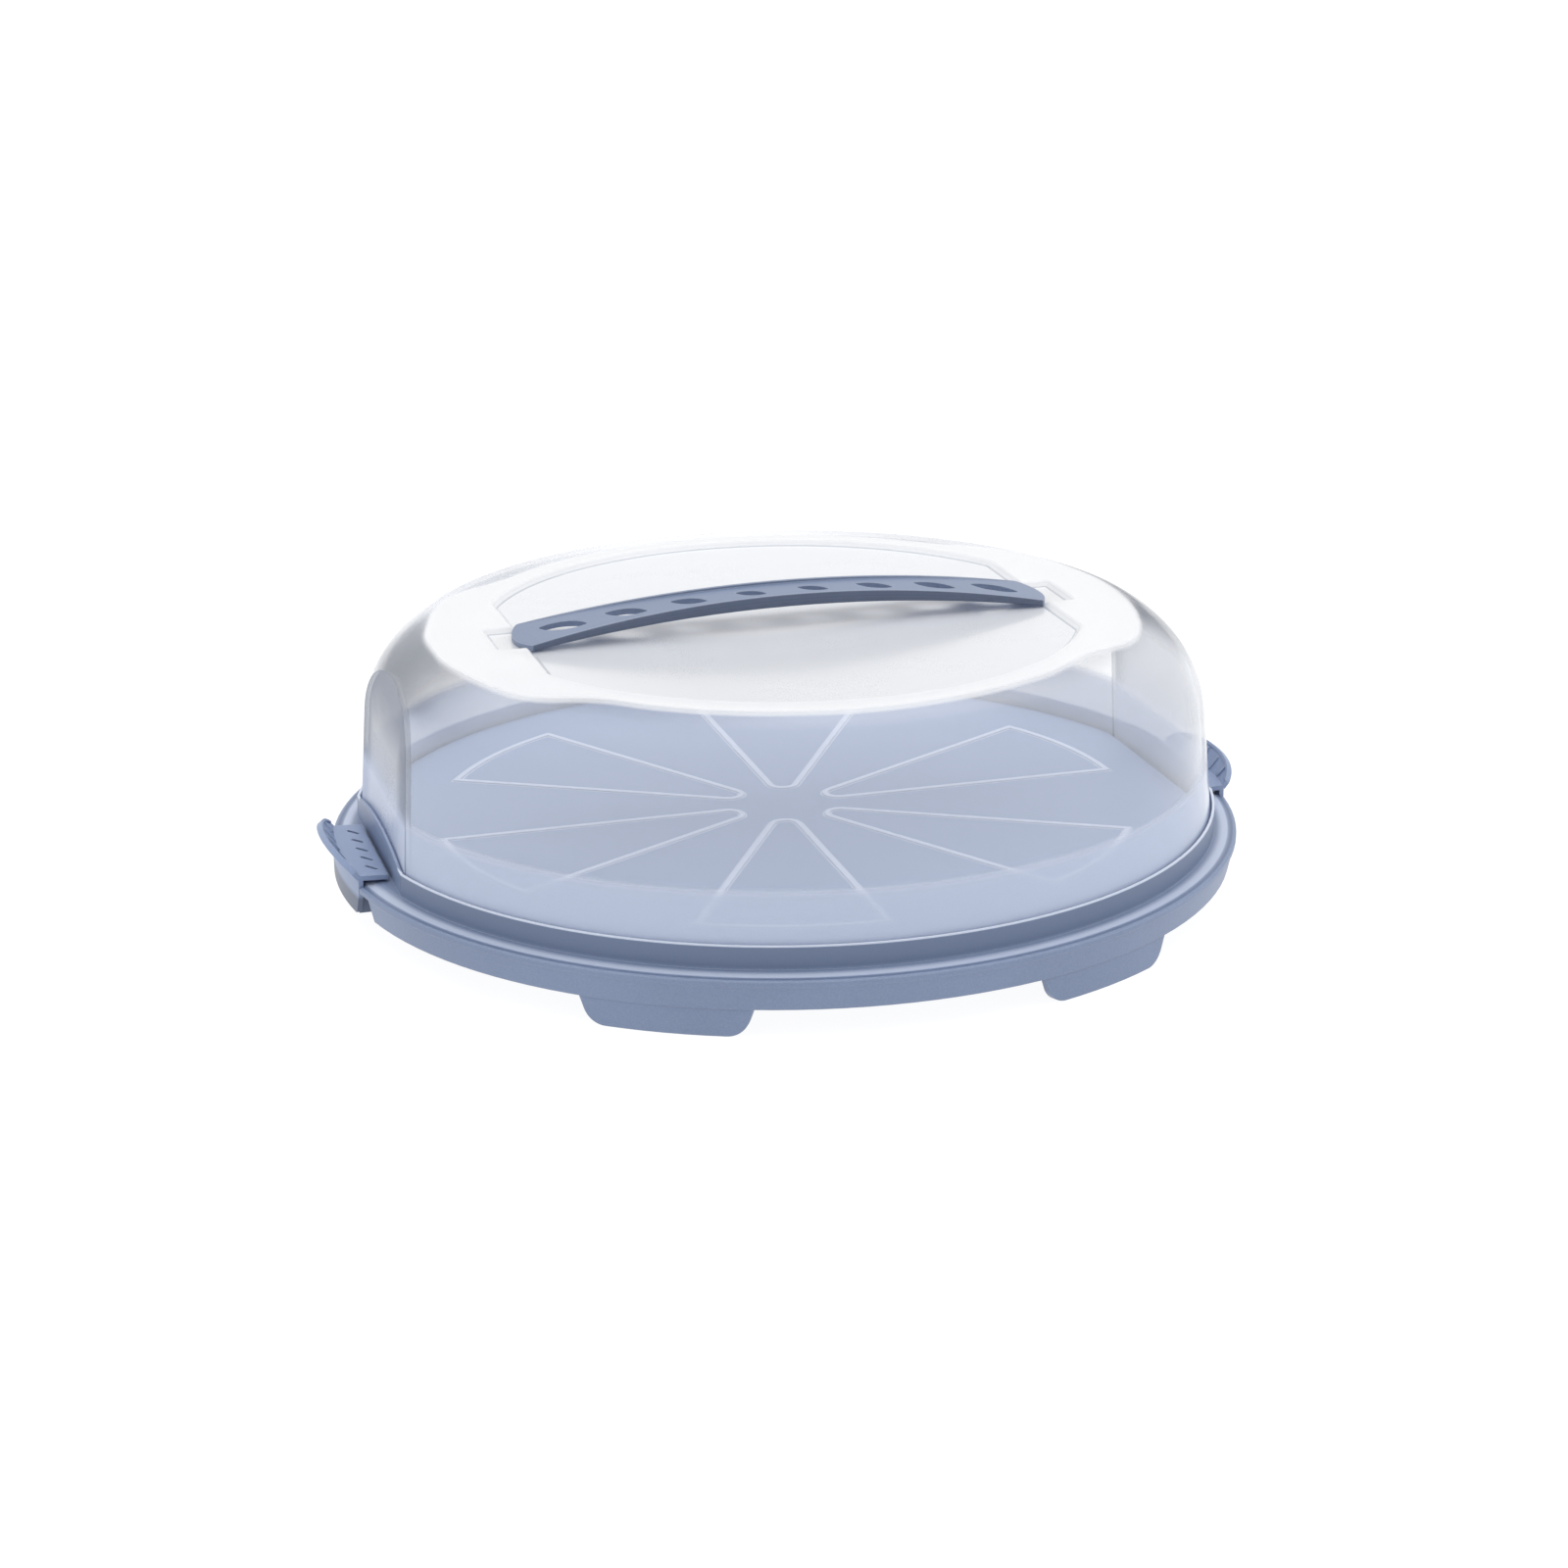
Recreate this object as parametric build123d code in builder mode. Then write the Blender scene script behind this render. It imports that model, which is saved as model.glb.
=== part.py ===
from build123d import *
from math import atan2, cos, degrees, radians, sin, sqrt, tan
import os

os.makedirs("parts", exist_ok=True)

# Flat round cake keeper: a tray on four feet, a clear dome that stands inside the
# tray's ring wall, an arched carry handle on the dome and two tipping side clips.
# Millimetres. The X axis runs through the two clips and along the handle, +Z is up,
# and the origin is the centre of the circle that the feet stand on.

# Tray: rim and skirt
rim_radius = 172.5
skirt_low_height = 10.4
skirt_depth = 11.6
skirt_taper = 2.5
rim_fall = 0.8
rim_bead_height = 1.6
rim_bead_step = 0.6
rim_edge_width = 0.8
rim_edge_drop = 0.3
ledge_rise = 0.6
ledge_slope_width = 3.0
tray_wall = 1.8

# Tray: ring wall round the dome, with a straight tongue in front of each clip
ring_inset = 8.4
ring_wall = 1.0
ring_rise = 8.6
tongue_inset = 6.8
tongue_rise = 4.4
tongue_end_margin = 3.0

# Tray: raised floor and the gutter that the dome's edge stands in
gutter_rise = 0.9
gutter_width = 4.0
floor_rise = 2.8
floor_thickness = 1.9
floor_edge_round = 0.8
floor_corner_round = 8.0

# Tray: slice outlines raised on the floor
slice_count = 6
slice_angle = 30.0
slice_margin = 25.1
slice_tip_round = 6.4
slice_line_width = 2.2
slice_line_height = 0.5
slice_turn = 15.0

# Tray: stiffening under the floor, with rings at shares of the floor's radius
under_rib_shares = (0.302, 0.641)
under_rib_width = 1.6
under_rib_depth = 3.0
spoke_count = 12
spoke_start_angle = 15.0

# Tray: feet
foot_angles = (59.6, 116.4, 239.6, 296.4)
foot_top_angle = 21.0
foot_low_angle = 18.6
foot_inset = 0.5
foot_taper = 1.1
foot_wall = 2.4
foot_corner_round = 8.2
gusset_turn = 4.0
gusset_depth = 10.0
gusset_lift = 1.2
gusset_thickness = 1.6

# Tray: opening for each clip
skirt_gap_margin = 7.6
ledge_gap_depth = 4.7
clip_side_clearance = 0.9

# Dome
dome_wall = 1.8
dome_side_clearance = 0.25
dome_seat_clearance = 0.1
dome_rise = 78.6
dome_lean_angle = 4.53
shoulder_arc_radius = 41.3
shoulder_turn_angle = 59.3
crown_arc_radius = 13.6
crown_fall_angle = 4.0
facet_slope = 0.0635
facet_bend_rise = 44.1
facet_arc_height = 22.7
facet_arc_fall = 3.75
facet_arc_middle_fall = 1.36
facet_top_slope = 0.25

# Dome: handle recess on the crown
recess_margin = 49.65
recess_end_cut = 11.5
recess_depth = 2.3
recess_wall_inset = 2.2
pocket_length = 11.1
pocket_half_width = 15.0
pocket_corner = 3.0

# Handle slots in the recess floor
slot_tip_gap = 0.4
slot_length = 9.0
slot_width = 6.0

# Carry handle
strap_rise = 10.6
strap_overreach = 1.9
strap_tip_bow = 4.5
strap_end_half_width = 15.2
strap_waist = 4.2
strap_skin = 1.8
strap_middle_thickness = 4.4
strap_under_hollow = 0.8
strap_flange_wall = 1.7
strap_dish_depth = 1.0
strap_dish_end_rise = 0.15
strap_dish_margin = 1.3
strap_corner_round = 1.2
strap_seat_clearance = 0.1
strap_hole_count = 8
strap_hole_margin = 2.3
strap_hole_slant = -26.0
strap_hole_end_length = 19.1
strap_hole_middle_length = 11.4
strap_hole_end_width = 10.0
strap_hole_middle_width = 5.8
stud_inset = 2.3
stud_length = 4.0
stud_head_length = 6.0
stud_head_width = 10.0
stud_head_thickness = 1.5
stud_clearance = 0.3

# Clips
clip_half_width = 29.4
clip_low_inset = 2.9
clip_low_corner = 2.0
clip_wall = 1.8
clip_low_lift = 0.2
clip_plate_lift = 3.4
clip_plate_thickness = 1.9
clip_tongue_clearance = 1.6
clip_plate_rise = 0.7
lip_root_inset = 1.1
lip_tilt = 38.0
lip_length = 9.9
lip_root_depth = 1.6
lip_side_margin = 0.7
lip_fullness = 0.60
lip_thickness = 1.9
lip_bead_width = 1.3
lip_bead_height = 0.45
ridge_start = 1.2
ridge_length = 7.0
ridge_shrink = 0.16
ridge_spread = 0.95
ridge_root_width = 2.6
ridge_tip_width = 1.0
ridge_fan = 12.0
slit_count = 5
slit_pitch = 10.3
slit_length = 5.8
slit_width = 1.5
slit_turn = -50.0
slit_inset = 9.0

# Clip hinge
pivot_inset = 7.9
pivot_drop = 8.0
pin_radius = 1.6
pin_clearance = 0.06
lug_boss_radius = 3.2
lug_thickness = 4.0
cheek_thickness = 2.0
cheek_gap = 0.4
cheek_disc_radius = 3.4

# Room that cutting shapes and joins run past a surface
overlap = 0.3
spare = 1.0
cut_margin = 30.0

# Worked out from the sizes above: tray
rim_height = skirt_low_height + skirt_depth
rim_underside = rim_height - rim_fall - tray_wall
skirt_low_radius = rim_radius - skirt_taper
foot_low_radius = skirt_low_radius - foot_taper
ledge_height = rim_height + ledge_rise
ledge_underside = ledge_height - tray_wall
ring_radius = rim_radius - ring_inset
ring_inner_radius = ring_radius - ring_wall
ring_top_height = ledge_height + ring_rise
tongue_face_x = ring_radius - tongue_inset
tongue_inner_x = tongue_face_x - ring_wall
gutter_height = ledge_height + gutter_rise
gutter_underside = gutter_height - tray_wall
floor_height = gutter_height + floor_rise
floor_underside = floor_height - floor_thickness
floor_edge_radius = ring_inner_radius - gutter_width
floor_edge_x = tongue_inner_x - gutter_width
slice_radius = floor_edge_radius - slice_margin
far_out = rim_radius + cut_margin

# Worked out from the sizes above: dome and handle
dome_radius = ring_inner_radius - dome_side_clearance
dome_foot_height = gutter_height + dome_seat_clearance
dome_height = dome_foot_height + dome_rise
facet_x = tongue_inner_x - dome_side_clearance
facet_bend_height = dome_foot_height + facet_bend_rise
recess_radius = dome_radius - recess_margin
recess_half_length = recess_radius - recess_end_cut
recess_floor_height = dome_height - recess_depth
pocket_end_x = recess_half_length + pocket_length
strap_tip_x = recess_half_length + strap_overreach
strap_end_x = strap_tip_x - strap_tip_bow
strap_middle_half_width = strap_end_half_width - strap_waist
strap_end_height = recess_floor_height + strap_seat_clearance + strap_skin
strap_top_height = strap_end_height + strap_rise
strap_hole_pitch = 2 * (strap_end_x - strap_hole_margin) / strap_hole_count
slot_end_x = strap_tip_x - slot_tip_gap
slot_start_x = slot_end_x - slot_length
stud_x = slot_start_x + stud_inset

# Worked out from the sizes above: clips
clip_low_height = skirt_low_height + clip_low_lift
clip_low_half_width = clip_half_width - clip_low_inset
clip_plate_height = rim_height + clip_plate_lift
skirt_gap_half_width = clip_half_width + skirt_gap_margin
ledge_gap_x = rim_radius - ledge_gap_depth
plate_inner_x = tongue_face_x + clip_tongue_clearance
slit_centre_x = rim_radius - slit_inset
lip_root_radius = rim_radius - lip_root_inset
lip_half_width = clip_half_width + lip_side_margin
pivot_x = rim_radius - pivot_inset
pivot_height = rim_height - pivot_drop
cheek_outer_y = clip_low_half_width
cheek_inner_y = cheek_outer_y - cheek_thickness
lug_outer_y = cheek_inner_y - cheek_gap
lug_inner_y = lug_outer_y - lug_thickness
lug_root_height = (ledge_height + ledge_underside) / 2


def chord_disc(radius, half_length):
    """Circle with a straight side across the X axis at each end."""
    Circle(radius)
    Rectangle(2 * half_length, 4 * radius, mode=Mode.INTERSECT)


def chord_band(outer_radius, outer_x, inner_radius, inner_x):
    """Band between two circles, each with straight sides at the clips."""
    chord_disc(outer_radius, outer_x)
    with BuildSketch(mode=Mode.PRIVATE) as core:
        chord_disc(inner_radius, inner_x)
    add(core.sketch, mode=Mode.SUBTRACT)


def slice_outline():
    """Outline of one slice of cake, with its point rounded off near the centre."""
    half = slice_angle / 2
    far = (slice_radius * cos(radians(half)), slice_radius * sin(radians(half)))
    with BuildSketch(mode=Mode.PRIVATE) as wedge:
        with BuildLine():
            Line((0, 0), far)
            ThreePointArc(far, (slice_radius, 0), (far[0], -far[1]))
            Line((far[0], -far[1]), (0, 0))
        make_face()
        tip = wedge.vertices().sort_by(Axis.X)[0]
        fillet(tip, slice_tip_round)
    with BuildSketch(mode=Mode.PRIVATE) as inner:
        add(wedge.sketch)
        offset(amount=-slice_line_width, mode=Mode.REPLACE)
    add(wedge.sketch)
    add(inner.sketch, mode=Mode.SUBTRACT)


def foot_outline():
    """Face of a foot seen from outside: sloping sides and rounded lower corners."""
    top_half = skirt_low_radius * sin(radians(foot_top_angle / 2))
    low_half = foot_low_radius * sin(radians(foot_low_angle / 2))
    with BuildSketch(Plane.YZ) as outline:
        with BuildLine():
            Polyline(
                (-top_half, rim_height),
                (-top_half, skirt_low_height),
                (-low_half, 0),
                (low_half, 0),
                (top_half, skirt_low_height),
                (top_half, rim_height),
                close=True,
            )
        make_face()
        fillet(outline.vertices().group_by(Axis.Y)[0], foot_corner_round)
    return outline.sketch


def foot_blank():
    """Foot on the +X side: a curved tab below the skirt with two gussets behind it."""
    face_top = skirt_low_radius - foot_inset
    back_low = foot_low_radius - foot_wall
    back_top = face_top - foot_wall
    with BuildPart() as blank:
        with BuildSketch(Plane.YZ):
            with BuildLine():
                Polyline(
                    (back_low, -spare),
                    (foot_low_radius, -spare),
                    (foot_low_radius, 0),
                    (face_top, skirt_low_height),
                    (face_top, rim_underside),
                    (back_top, rim_underside),
                    close=True,
                )
            make_face()
        revolve(axis=Axis.Z, revolution_arc=360)
        extrude(foot_outline(), amount=far_out, mode=Mode.INTERSECT)
        for turn in (gusset_turn, -gusset_turn):
            with BuildSketch(Plane.XZ.rotated((0, 0, turn))) as gusset:
                with BuildLine():
                    Polyline(
                        (back_low + overlap, gusset_lift),
                        (back_low - gusset_depth, skirt_low_height),
                        (back_low - gusset_depth, rim_underside + overlap),
                        (back_top + overlap, rim_underside + overlap),
                        close=True,
                    )
                make_face()
            extrude(amount=gusset_thickness / 2, both=True)
    return blank.part


def lug_blank():
    """Lug on the +X side, hung from the ledge, with the bore for one clip pin."""
    with BuildPart() as blank:
        with BuildSketch(Plane.XZ):
            with Locations((pivot_x, pivot_height)):
                Circle(lug_boss_radius)
            with BuildLine():
                Polyline(
                    (pivot_x - lug_boss_radius, pivot_height),
                    (pivot_x - lug_boss_radius, lug_root_height),
                    (pivot_x + lug_boss_radius, lug_root_height),
                    (pivot_x + lug_boss_radius, pivot_height),
                    close=True,
                )
            make_face()
            with Locations((pivot_x, pivot_height)):
                Circle(pin_radius + pin_clearance, mode=Mode.SUBTRACT)
        extrude(amount=lug_thickness / 2, both=True)
    return blank.part


with BuildPart() as tray:
    # Rim: a gently falling ledge with a beaded edge, and the skirt below it
    with BuildSketch(Plane.YZ):
        with BuildLine():
            rim_low = rim_height - rim_fall - rim_bead_height
            shelf_start = tongue_inner_x - gutter_width
            Polyline(
                (shelf_start, ledge_height),
                (ring_radius, ledge_height),
                (ring_radius + ledge_slope_width, rim_height),
                (rim_radius - rim_edge_width, rim_height - rim_edge_drop),
                (rim_radius, rim_height - rim_fall),
                (rim_radius, rim_low),
                (rim_radius - rim_bead_step, rim_low - rim_bead_step),
                (skirt_low_radius, skirt_low_height),
                (skirt_low_radius - tray_wall, skirt_low_height),
                (rim_radius - rim_bead_step - tray_wall, rim_underside),
                (ring_radius, ledge_underside),
                (shelf_start, ledge_underside),
                close=True,
            )
        make_face()
    revolve(axis=Axis.Z, revolution_arc=360)
    # Gaps in the skirt and in the ledge for the clips
    for side in (1, -1):
        with BuildSketch(Plane.XY.offset(skirt_low_height - spare)):
            with Locations((side * (floor_edge_radius + far_out) / 2, 0)):
                Rectangle(far_out - floor_edge_radius, 2 * skirt_gap_half_width)
        extrude(amount=rim_underside - overlap - skirt_low_height + spare, mode=Mode.SUBTRACT)
        with BuildSketch(Plane.XY.offset(rim_underside - spare)):
            with Locations((side * (ledge_gap_x + far_out) / 2, 0)):
                Rectangle(far_out - ledge_gap_x, 2 * (clip_half_width + clip_side_clearance))
        extrude(amount=rim_height - rim_underside + 2 * spare, mode=Mode.SUBTRACT)
    # Lugs for the clip pins
    lug = lug_blank()
    for hand in (1, -1):
        placed = Pos(0, hand * (lug_outer_y + lug_inner_y) / 2, 0) * lug
        add(placed)
        add(placed.rotate(Axis.Z, 180))
    # Well inside the ring wall
    with BuildSketch(Plane.XY.offset(skirt_low_height)):
        chord_disc(ring_inner_radius, tongue_inner_x)
    extrude(amount=ring_top_height, mode=Mode.SUBTRACT)
    # Ring wall
    with BuildSketch(Plane.XY.offset(gutter_underside)):
        chord_band(ring_radius, tongue_face_x, ring_inner_radius, tongue_inner_x)
    extrude(amount=ring_top_height - gutter_underside)
    # Arched top of the two tongues
    tongue_half = sqrt(ring_radius**2 - tongue_face_x**2) - tongue_end_margin
    for side in (1, -1):
        with BuildSketch(Plane.YZ.offset(side * tongue_inner_x)):
            with BuildLine():
                ThreePointArc(
                    (-tongue_half, ring_top_height),
                    (0, ring_top_height + tongue_rise),
                    (tongue_half, ring_top_height),
                )
                Polyline(
                    (tongue_half, ring_top_height),
                    (tongue_half, ring_top_height - spare),
                    (-tongue_half, ring_top_height - spare),
                    (-tongue_half, ring_top_height),
                )
            make_face()
        extrude(amount=side * ring_wall)
    # Gutter and raised floor
    with BuildSketch(Plane.XY.offset(gutter_underside)):
        chord_disc(ring_inner_radius + overlap, tongue_inner_x + overlap)
    extrude(amount=tray_wall)
    with BuildPart(mode=Mode.PRIVATE) as raised_floor:
        with BuildSketch(Plane.XY.offset(gutter_underside)) as floor_plan:
            chord_disc(floor_edge_radius, floor_edge_x)
            fillet(floor_plan.vertices(), floor_corner_round)
        extrude(amount=floor_height - gutter_underside)
        fillet(raised_floor.faces().sort_by(Axis.Z)[-1].edges(), floor_edge_round)
    add(raised_floor.part)
    with BuildSketch(Plane.XY.offset(gutter_underside)):
        chord_disc(floor_edge_radius - tray_wall, floor_edge_x - tray_wall)
    extrude(amount=floor_underside - gutter_underside, mode=Mode.SUBTRACT)
    # Slice outlines on the floor
    with BuildSketch(Plane.XY.offset(floor_height - overlap)) as slices:
        with PolarLocations(0, slice_count, start_angle=slice_turn):
            with BuildSketch(mode=Mode.PRIVATE) as one_slice:
                slice_outline()
            add(one_slice.sketch)
    extrude(amount=slice_line_height + overlap)
    # Rings and spokes that stiffen the floor from below
    with BuildSketch(Plane.XY.offset(floor_underside - under_rib_depth)):
        for share in under_rib_shares:
            Circle(floor_edge_radius * share + under_rib_width / 2)
            Circle(floor_edge_radius * share - under_rib_width / 2, mode=Mode.SUBTRACT)
    extrude(amount=under_rib_depth + overlap)
    with BuildSketch(Plane.XY.offset(floor_underside - under_rib_depth)):
        spoke_start = floor_edge_radius * under_rib_shares[0]
        spoke_end = floor_edge_x - tray_wall
        spoke_middle = (spoke_start + spoke_end) / 2
        spoke_length = spoke_end - spoke_start
        with PolarLocations(spoke_middle, spoke_count, start_angle=spoke_start_angle):
            Rectangle(spoke_length + 2 * overlap, under_rib_width)
    extrude(amount=under_rib_depth + overlap)
    # Feet
    foot = foot_blank()
    for angle in foot_angles:
        add(foot.rotate(Axis.Z, angle))
tray.part.label = "tray"
export_step(tray.part, "parts/tray.step")


def recess_mass(inset):
    """What the recess takes out of the crown, grown by the inset on every side."""
    low = recess_floor_height - inset
    spread = recess_wall_inset / recess_depth
    rise = recess_depth + spare
    with BuildPart() as mass:
        with BuildSketch(Plane.YZ):
            with BuildLine():
                Polyline(
                    (0, low),
                    (recess_radius - recess_wall_inset + inset, low),
                    (recess_radius + spread + inset, low + rise),
                    (0, low + rise),
                    close=True,
                )
            make_face()
        revolve(axis=Axis.Z, revolution_arc=360)
        with BuildSketch(Plane.XZ) as ends:
            with BuildLine():
                Polyline(
                    (recess_half_length - recess_wall_inset + inset, low),
                    (recess_half_length + spread + inset, low + rise),
                    (-recess_half_length - spread - inset, low + rise),
                    (-recess_half_length + recess_wall_inset - inset, low),
                    close=True,
                )
            make_face()
        extrude(ends.sketch, amount=far_out, both=True, mode=Mode.INTERSECT)
        with BuildSketch(Plane.XY.offset(low)) as pocket:
            RectangleRounded(
                2 * (pocket_end_x - recess_wall_inset + inset),
                2 * (pocket_half_width - recess_wall_inset + inset),
                pocket_corner + inset,
            )
        extrude(pocket.sketch, amount=rise, taper=-degrees(atan2(recess_wall_inset, recess_depth)))
    return mass.part


def outward(angle):
    """Direction in the dome's section at an angle above level."""
    return Vector(cos(radians(angle)), sin(radians(angle)))


def shoulder_arcs(inset):
    """Two arcs that round the wall into the crown, as start, middle and end points."""
    wall_out = outward(dome_lean_angle)
    wall_up = outward(dome_lean_angle + 90)
    joint_out = outward(shoulder_turn_angle)
    crown_out = outward(90 - crown_fall_angle)
    foot = Vector(dome_radius, dome_foot_height)
    crown = Vector(recess_radius, dome_height)
    # The wall is straight up to the height from which the arcs end on the crown
    wide_centre = wall_out * -shoulder_arc_radius
    tight_centre = wide_centre + joint_out * (shoulder_arc_radius - crown_arc_radius)
    reach = tight_centre + crown_out * crown_arc_radius
    wall_length = (crown - foot - reach).dot(crown_out) / wall_up.dot(crown_out)
    start = foot + wall_up * wall_length
    wide_radius = shoulder_arc_radius - inset
    tight_radius = crown_arc_radius - inset
    first_half = outward((dome_lean_angle + shoulder_turn_angle) / 2)
    second_half = outward((shoulder_turn_angle + 90 - crown_fall_angle) / 2)
    return [
        start + wide_centre + wall_out * wide_radius,
        start + wide_centre + first_half * wide_radius,
        start + wide_centre + joint_out * wide_radius,
        start + tight_centre + second_half * tight_radius,
        start + tight_centre + crown_out * tight_radius,
    ]


def dome_mass(inset):
    """Solid dome, or with an inset the space inside it."""
    foot = dome_foot_height - (spare if inset else 0)
    arcs = shoulder_arcs(inset)
    lean = tan(radians(dome_lean_angle))
    foot_radius = arcs[0].X + (arcs[0].Y - foot) * lean
    with BuildPart() as mass:
        with BuildSketch(Plane.YZ):
            with BuildLine():
                Line((foot_radius, foot), arcs[0])
                ThreePointArc(arcs[0], arcs[1], arcs[2])
                ThreePointArc(arcs[2], arcs[3], arcs[4])
                Polyline(
                    arcs[4],
                    (recess_radius, dome_height - inset),
                    (0, dome_height - inset),
                    (0, foot),
                    (foot_radius, foot),
                )
            make_face()
        revolve(axis=Axis.Z, revolution_arc=360)
        # Flat sides that face the clips
        for side in (1, -1):
            foot_x = facet_x + facet_slope * spare - inset
            bend_x = facet_x - facet_slope * (facet_bend_height - dome_foot_height) - inset
            arc_top_x = bend_x - facet_arc_fall
            arc_top = facet_bend_height + facet_arc_height
            arc_middle = facet_bend_height + facet_arc_height / 2
            crown_x = arc_top_x - facet_top_slope * (dome_height - arc_top)
            with BuildSketch(Plane.XZ):
                with BuildLine():
                    Polyline(
                        (side * arc_top_x, arc_top),
                        (side * crown_x, dome_height),
                        (side * far_out, dome_height),
                        (side * far_out, dome_foot_height - spare),
                        (side * foot_x, dome_foot_height - spare),
                        (side * bend_x, facet_bend_height),
                    )
                    ThreePointArc(
                        (side * bend_x, facet_bend_height),
                        (side * (bend_x - facet_arc_middle_fall), arc_middle),
                        (side * arc_top_x, arc_top),
                    )
                make_face()
            extrude(amount=far_out, both=True, mode=Mode.SUBTRACT)
        # Handle recess, with a pocket past each end of the handle
        add(recess_mass(inset), mode=Mode.SUBTRACT)
    return mass.part


with BuildPart() as dome:
    add(dome_mass(0))
    add(dome_mass(dome_wall), mode=Mode.SUBTRACT)
    # Slots that hold the studs of the handle
    with BuildSketch(Plane.XY.offset(recess_floor_height - dome_wall - spare)):
        with Locations(
            ((slot_start_x + slot_end_x) / 2, 0), (-(slot_start_x + slot_end_x) / 2, 0)
        ):
            Rectangle(slot_length, slot_width)
    extrude(amount=dome_wall + 2 * spare, mode=Mode.SUBTRACT)
dome.part.label = "dome"
export_step(dome.part, "parts/dome.step")


def strap_outline(inset):
    """Plan of the handle: waisted sides, rounded ends and rounded corners."""
    end_x = strap_end_x - inset
    tip_x = strap_tip_x - inset
    end_y = strap_end_half_width - inset
    mid_y = strap_middle_half_width - inset
    with BuildSketch(Plane.XY) as outline:
        with BuildLine():
            ThreePointArc((-end_x, end_y), (0, mid_y), (end_x, end_y))
            ThreePointArc((end_x, end_y), (tip_x, 0), (end_x, -end_y))
            ThreePointArc((end_x, -end_y), (0, -mid_y), (-end_x, -end_y))
            ThreePointArc((-end_x, -end_y), (-tip_x, 0), (-end_x, end_y))
        make_face()
        fillet(outline.vertices(), strap_corner_round)
    return outline.sketch


def arch_height(x, top, rise):
    """Height at x of an arch that falls by its rise at the tip of the handle."""
    radius = (strap_tip_x**2 + rise**2) / (2 * rise)
    return top - radius + sqrt(radius**2 - x**2)


def strap_side(high_drops, low_drops):
    """Side view of the handle between two arches, each given by its drops in the middle and at the tips."""
    reach = strap_tip_x + spare
    high = strap_top_height - high_drops[0]
    low = strap_top_height - low_drops[0]
    high_end = arch_height(reach, high, strap_rise - high_drops[0] + high_drops[1])
    low_end = arch_height(reach, low, strap_rise - low_drops[0] + low_drops[1])
    with BuildSketch(Plane.XZ) as side_view:
        with BuildLine():
            ThreePointArc((-reach, high_end), (0, high), (reach, high_end))
            Line((reach, high_end), (reach, low_end))
            ThreePointArc((reach, low_end), (0, low), (-reach, low_end))
            Line((-reach, low_end), (-reach, high_end))
        make_face()
    return side_view.sketch


def strap_slice(high_drops, low_drops, inset):
    """Solid between two arches, inside the handle's plan drawn in by the inset."""
    with BuildPart(mode=Mode.PRIVATE) as piece:
        extrude(strap_side(high_drops, low_drops), amount=strap_end_half_width + spare, both=True)
        extrude(strap_outline(inset), amount=2 * strap_top_height, mode=Mode.INTERSECT)
    return piece.part


with BuildPart() as carry_handle:
    add(strap_slice((0, 0), (strap_middle_thickness, strap_skin), 0))
    # Shallow hollow underneath, which leaves a flange along each side
    hollow_top = (strap_middle_thickness - strap_under_hollow, strap_skin)
    hollow_low = (2 * strap_middle_thickness, 2 * strap_skin)
    add(strap_slice(hollow_top, hollow_low, strap_flange_wall), mode=Mode.SUBTRACT)
    # Dished top, which leaves a raised edge along each side
    dish_top = (-spare, -spare)
    dish_low = (strap_dish_depth, -strap_dish_end_rise)
    add(strap_slice(dish_top, dish_low, strap_dish_margin), mode=Mode.SUBTRACT)
    # Row of slanted, pointed holes, longest at the ends of the handle
    half_count = (strap_hole_count - 1) / 2
    with BuildSketch(Plane.XY.offset(recess_floor_height)):
        for index in range(strap_hole_count):
            place = (index - half_count) * strap_hole_pitch
            share = abs(index - half_count) / half_count
            length = strap_hole_middle_length * (1 - share) + strap_hole_end_length * share
            width = strap_hole_middle_width * (1 - share) + strap_hole_end_width * share
            with BuildLine(mode=Mode.PRIVATE) as lens:
                ThreePointArc((-length / 2, 0), (0, width / 2), (length / 2, 0))
                ThreePointArc((length / 2, 0), (0, -width / 2), (-length / 2, 0))
            with Locations(Location((place, 0, 0), (0, 0, strap_hole_slant))):
                add(make_face(lens.edges(), mode=Mode.PRIVATE))
    extrude(amount=strap_top_height, mode=Mode.SUBTRACT)
    # Headed studs that pass through the slots of the dome
    for side in (1, -1):
        neck_top = arch_height(stud_x, strap_top_height, strap_rise) - strap_skin / 2
        neck_low = recess_floor_height - dome_wall - stud_clearance
        with BuildSketch(Plane.XY.offset(neck_low)):
            with Locations((side * stud_x, 0)):
                Rectangle(stud_length, slot_width - 2 * stud_clearance)
        extrude(amount=neck_top - neck_low)
        with BuildSketch(Plane.XY.offset(neck_low - stud_head_thickness)):
            with Locations((side * stud_x, 0)):
                Rectangle(stud_head_length, stud_head_width)
        extrude(amount=stud_head_thickness)
carry_handle.part.label = "carry_handle"
export_step(carry_handle.part, "parts/carry_handle.step")


def clip_face_outline():
    """Outline of a clip's outer wall seen from outside."""
    low = clip_low_height
    high = clip_plate_height + clip_plate_rise
    with BuildSketch(Plane.YZ) as outline:
        with BuildLine():
            Polyline(
                (-clip_half_width, high),
                (-clip_half_width, rim_underside),
                (-clip_low_half_width, low),
                (clip_low_half_width, low),
                (clip_half_width, rim_underside),
                (clip_half_width, high),
                close=True,
            )
        make_face()
        fillet(outline.vertices().group_by(Axis.Y)[0], clip_low_corner)
    return outline.sketch


def lip_point(up, out):
    """Point of the lip's section: its way up the lip and out from the upper face."""
    tilt = radians(lip_tilt)
    return (
        lip_root_radius + up * sin(tilt) - out * cos(tilt),
        clip_plate_height + up * cos(tilt) + out * sin(tilt),
    )


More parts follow.
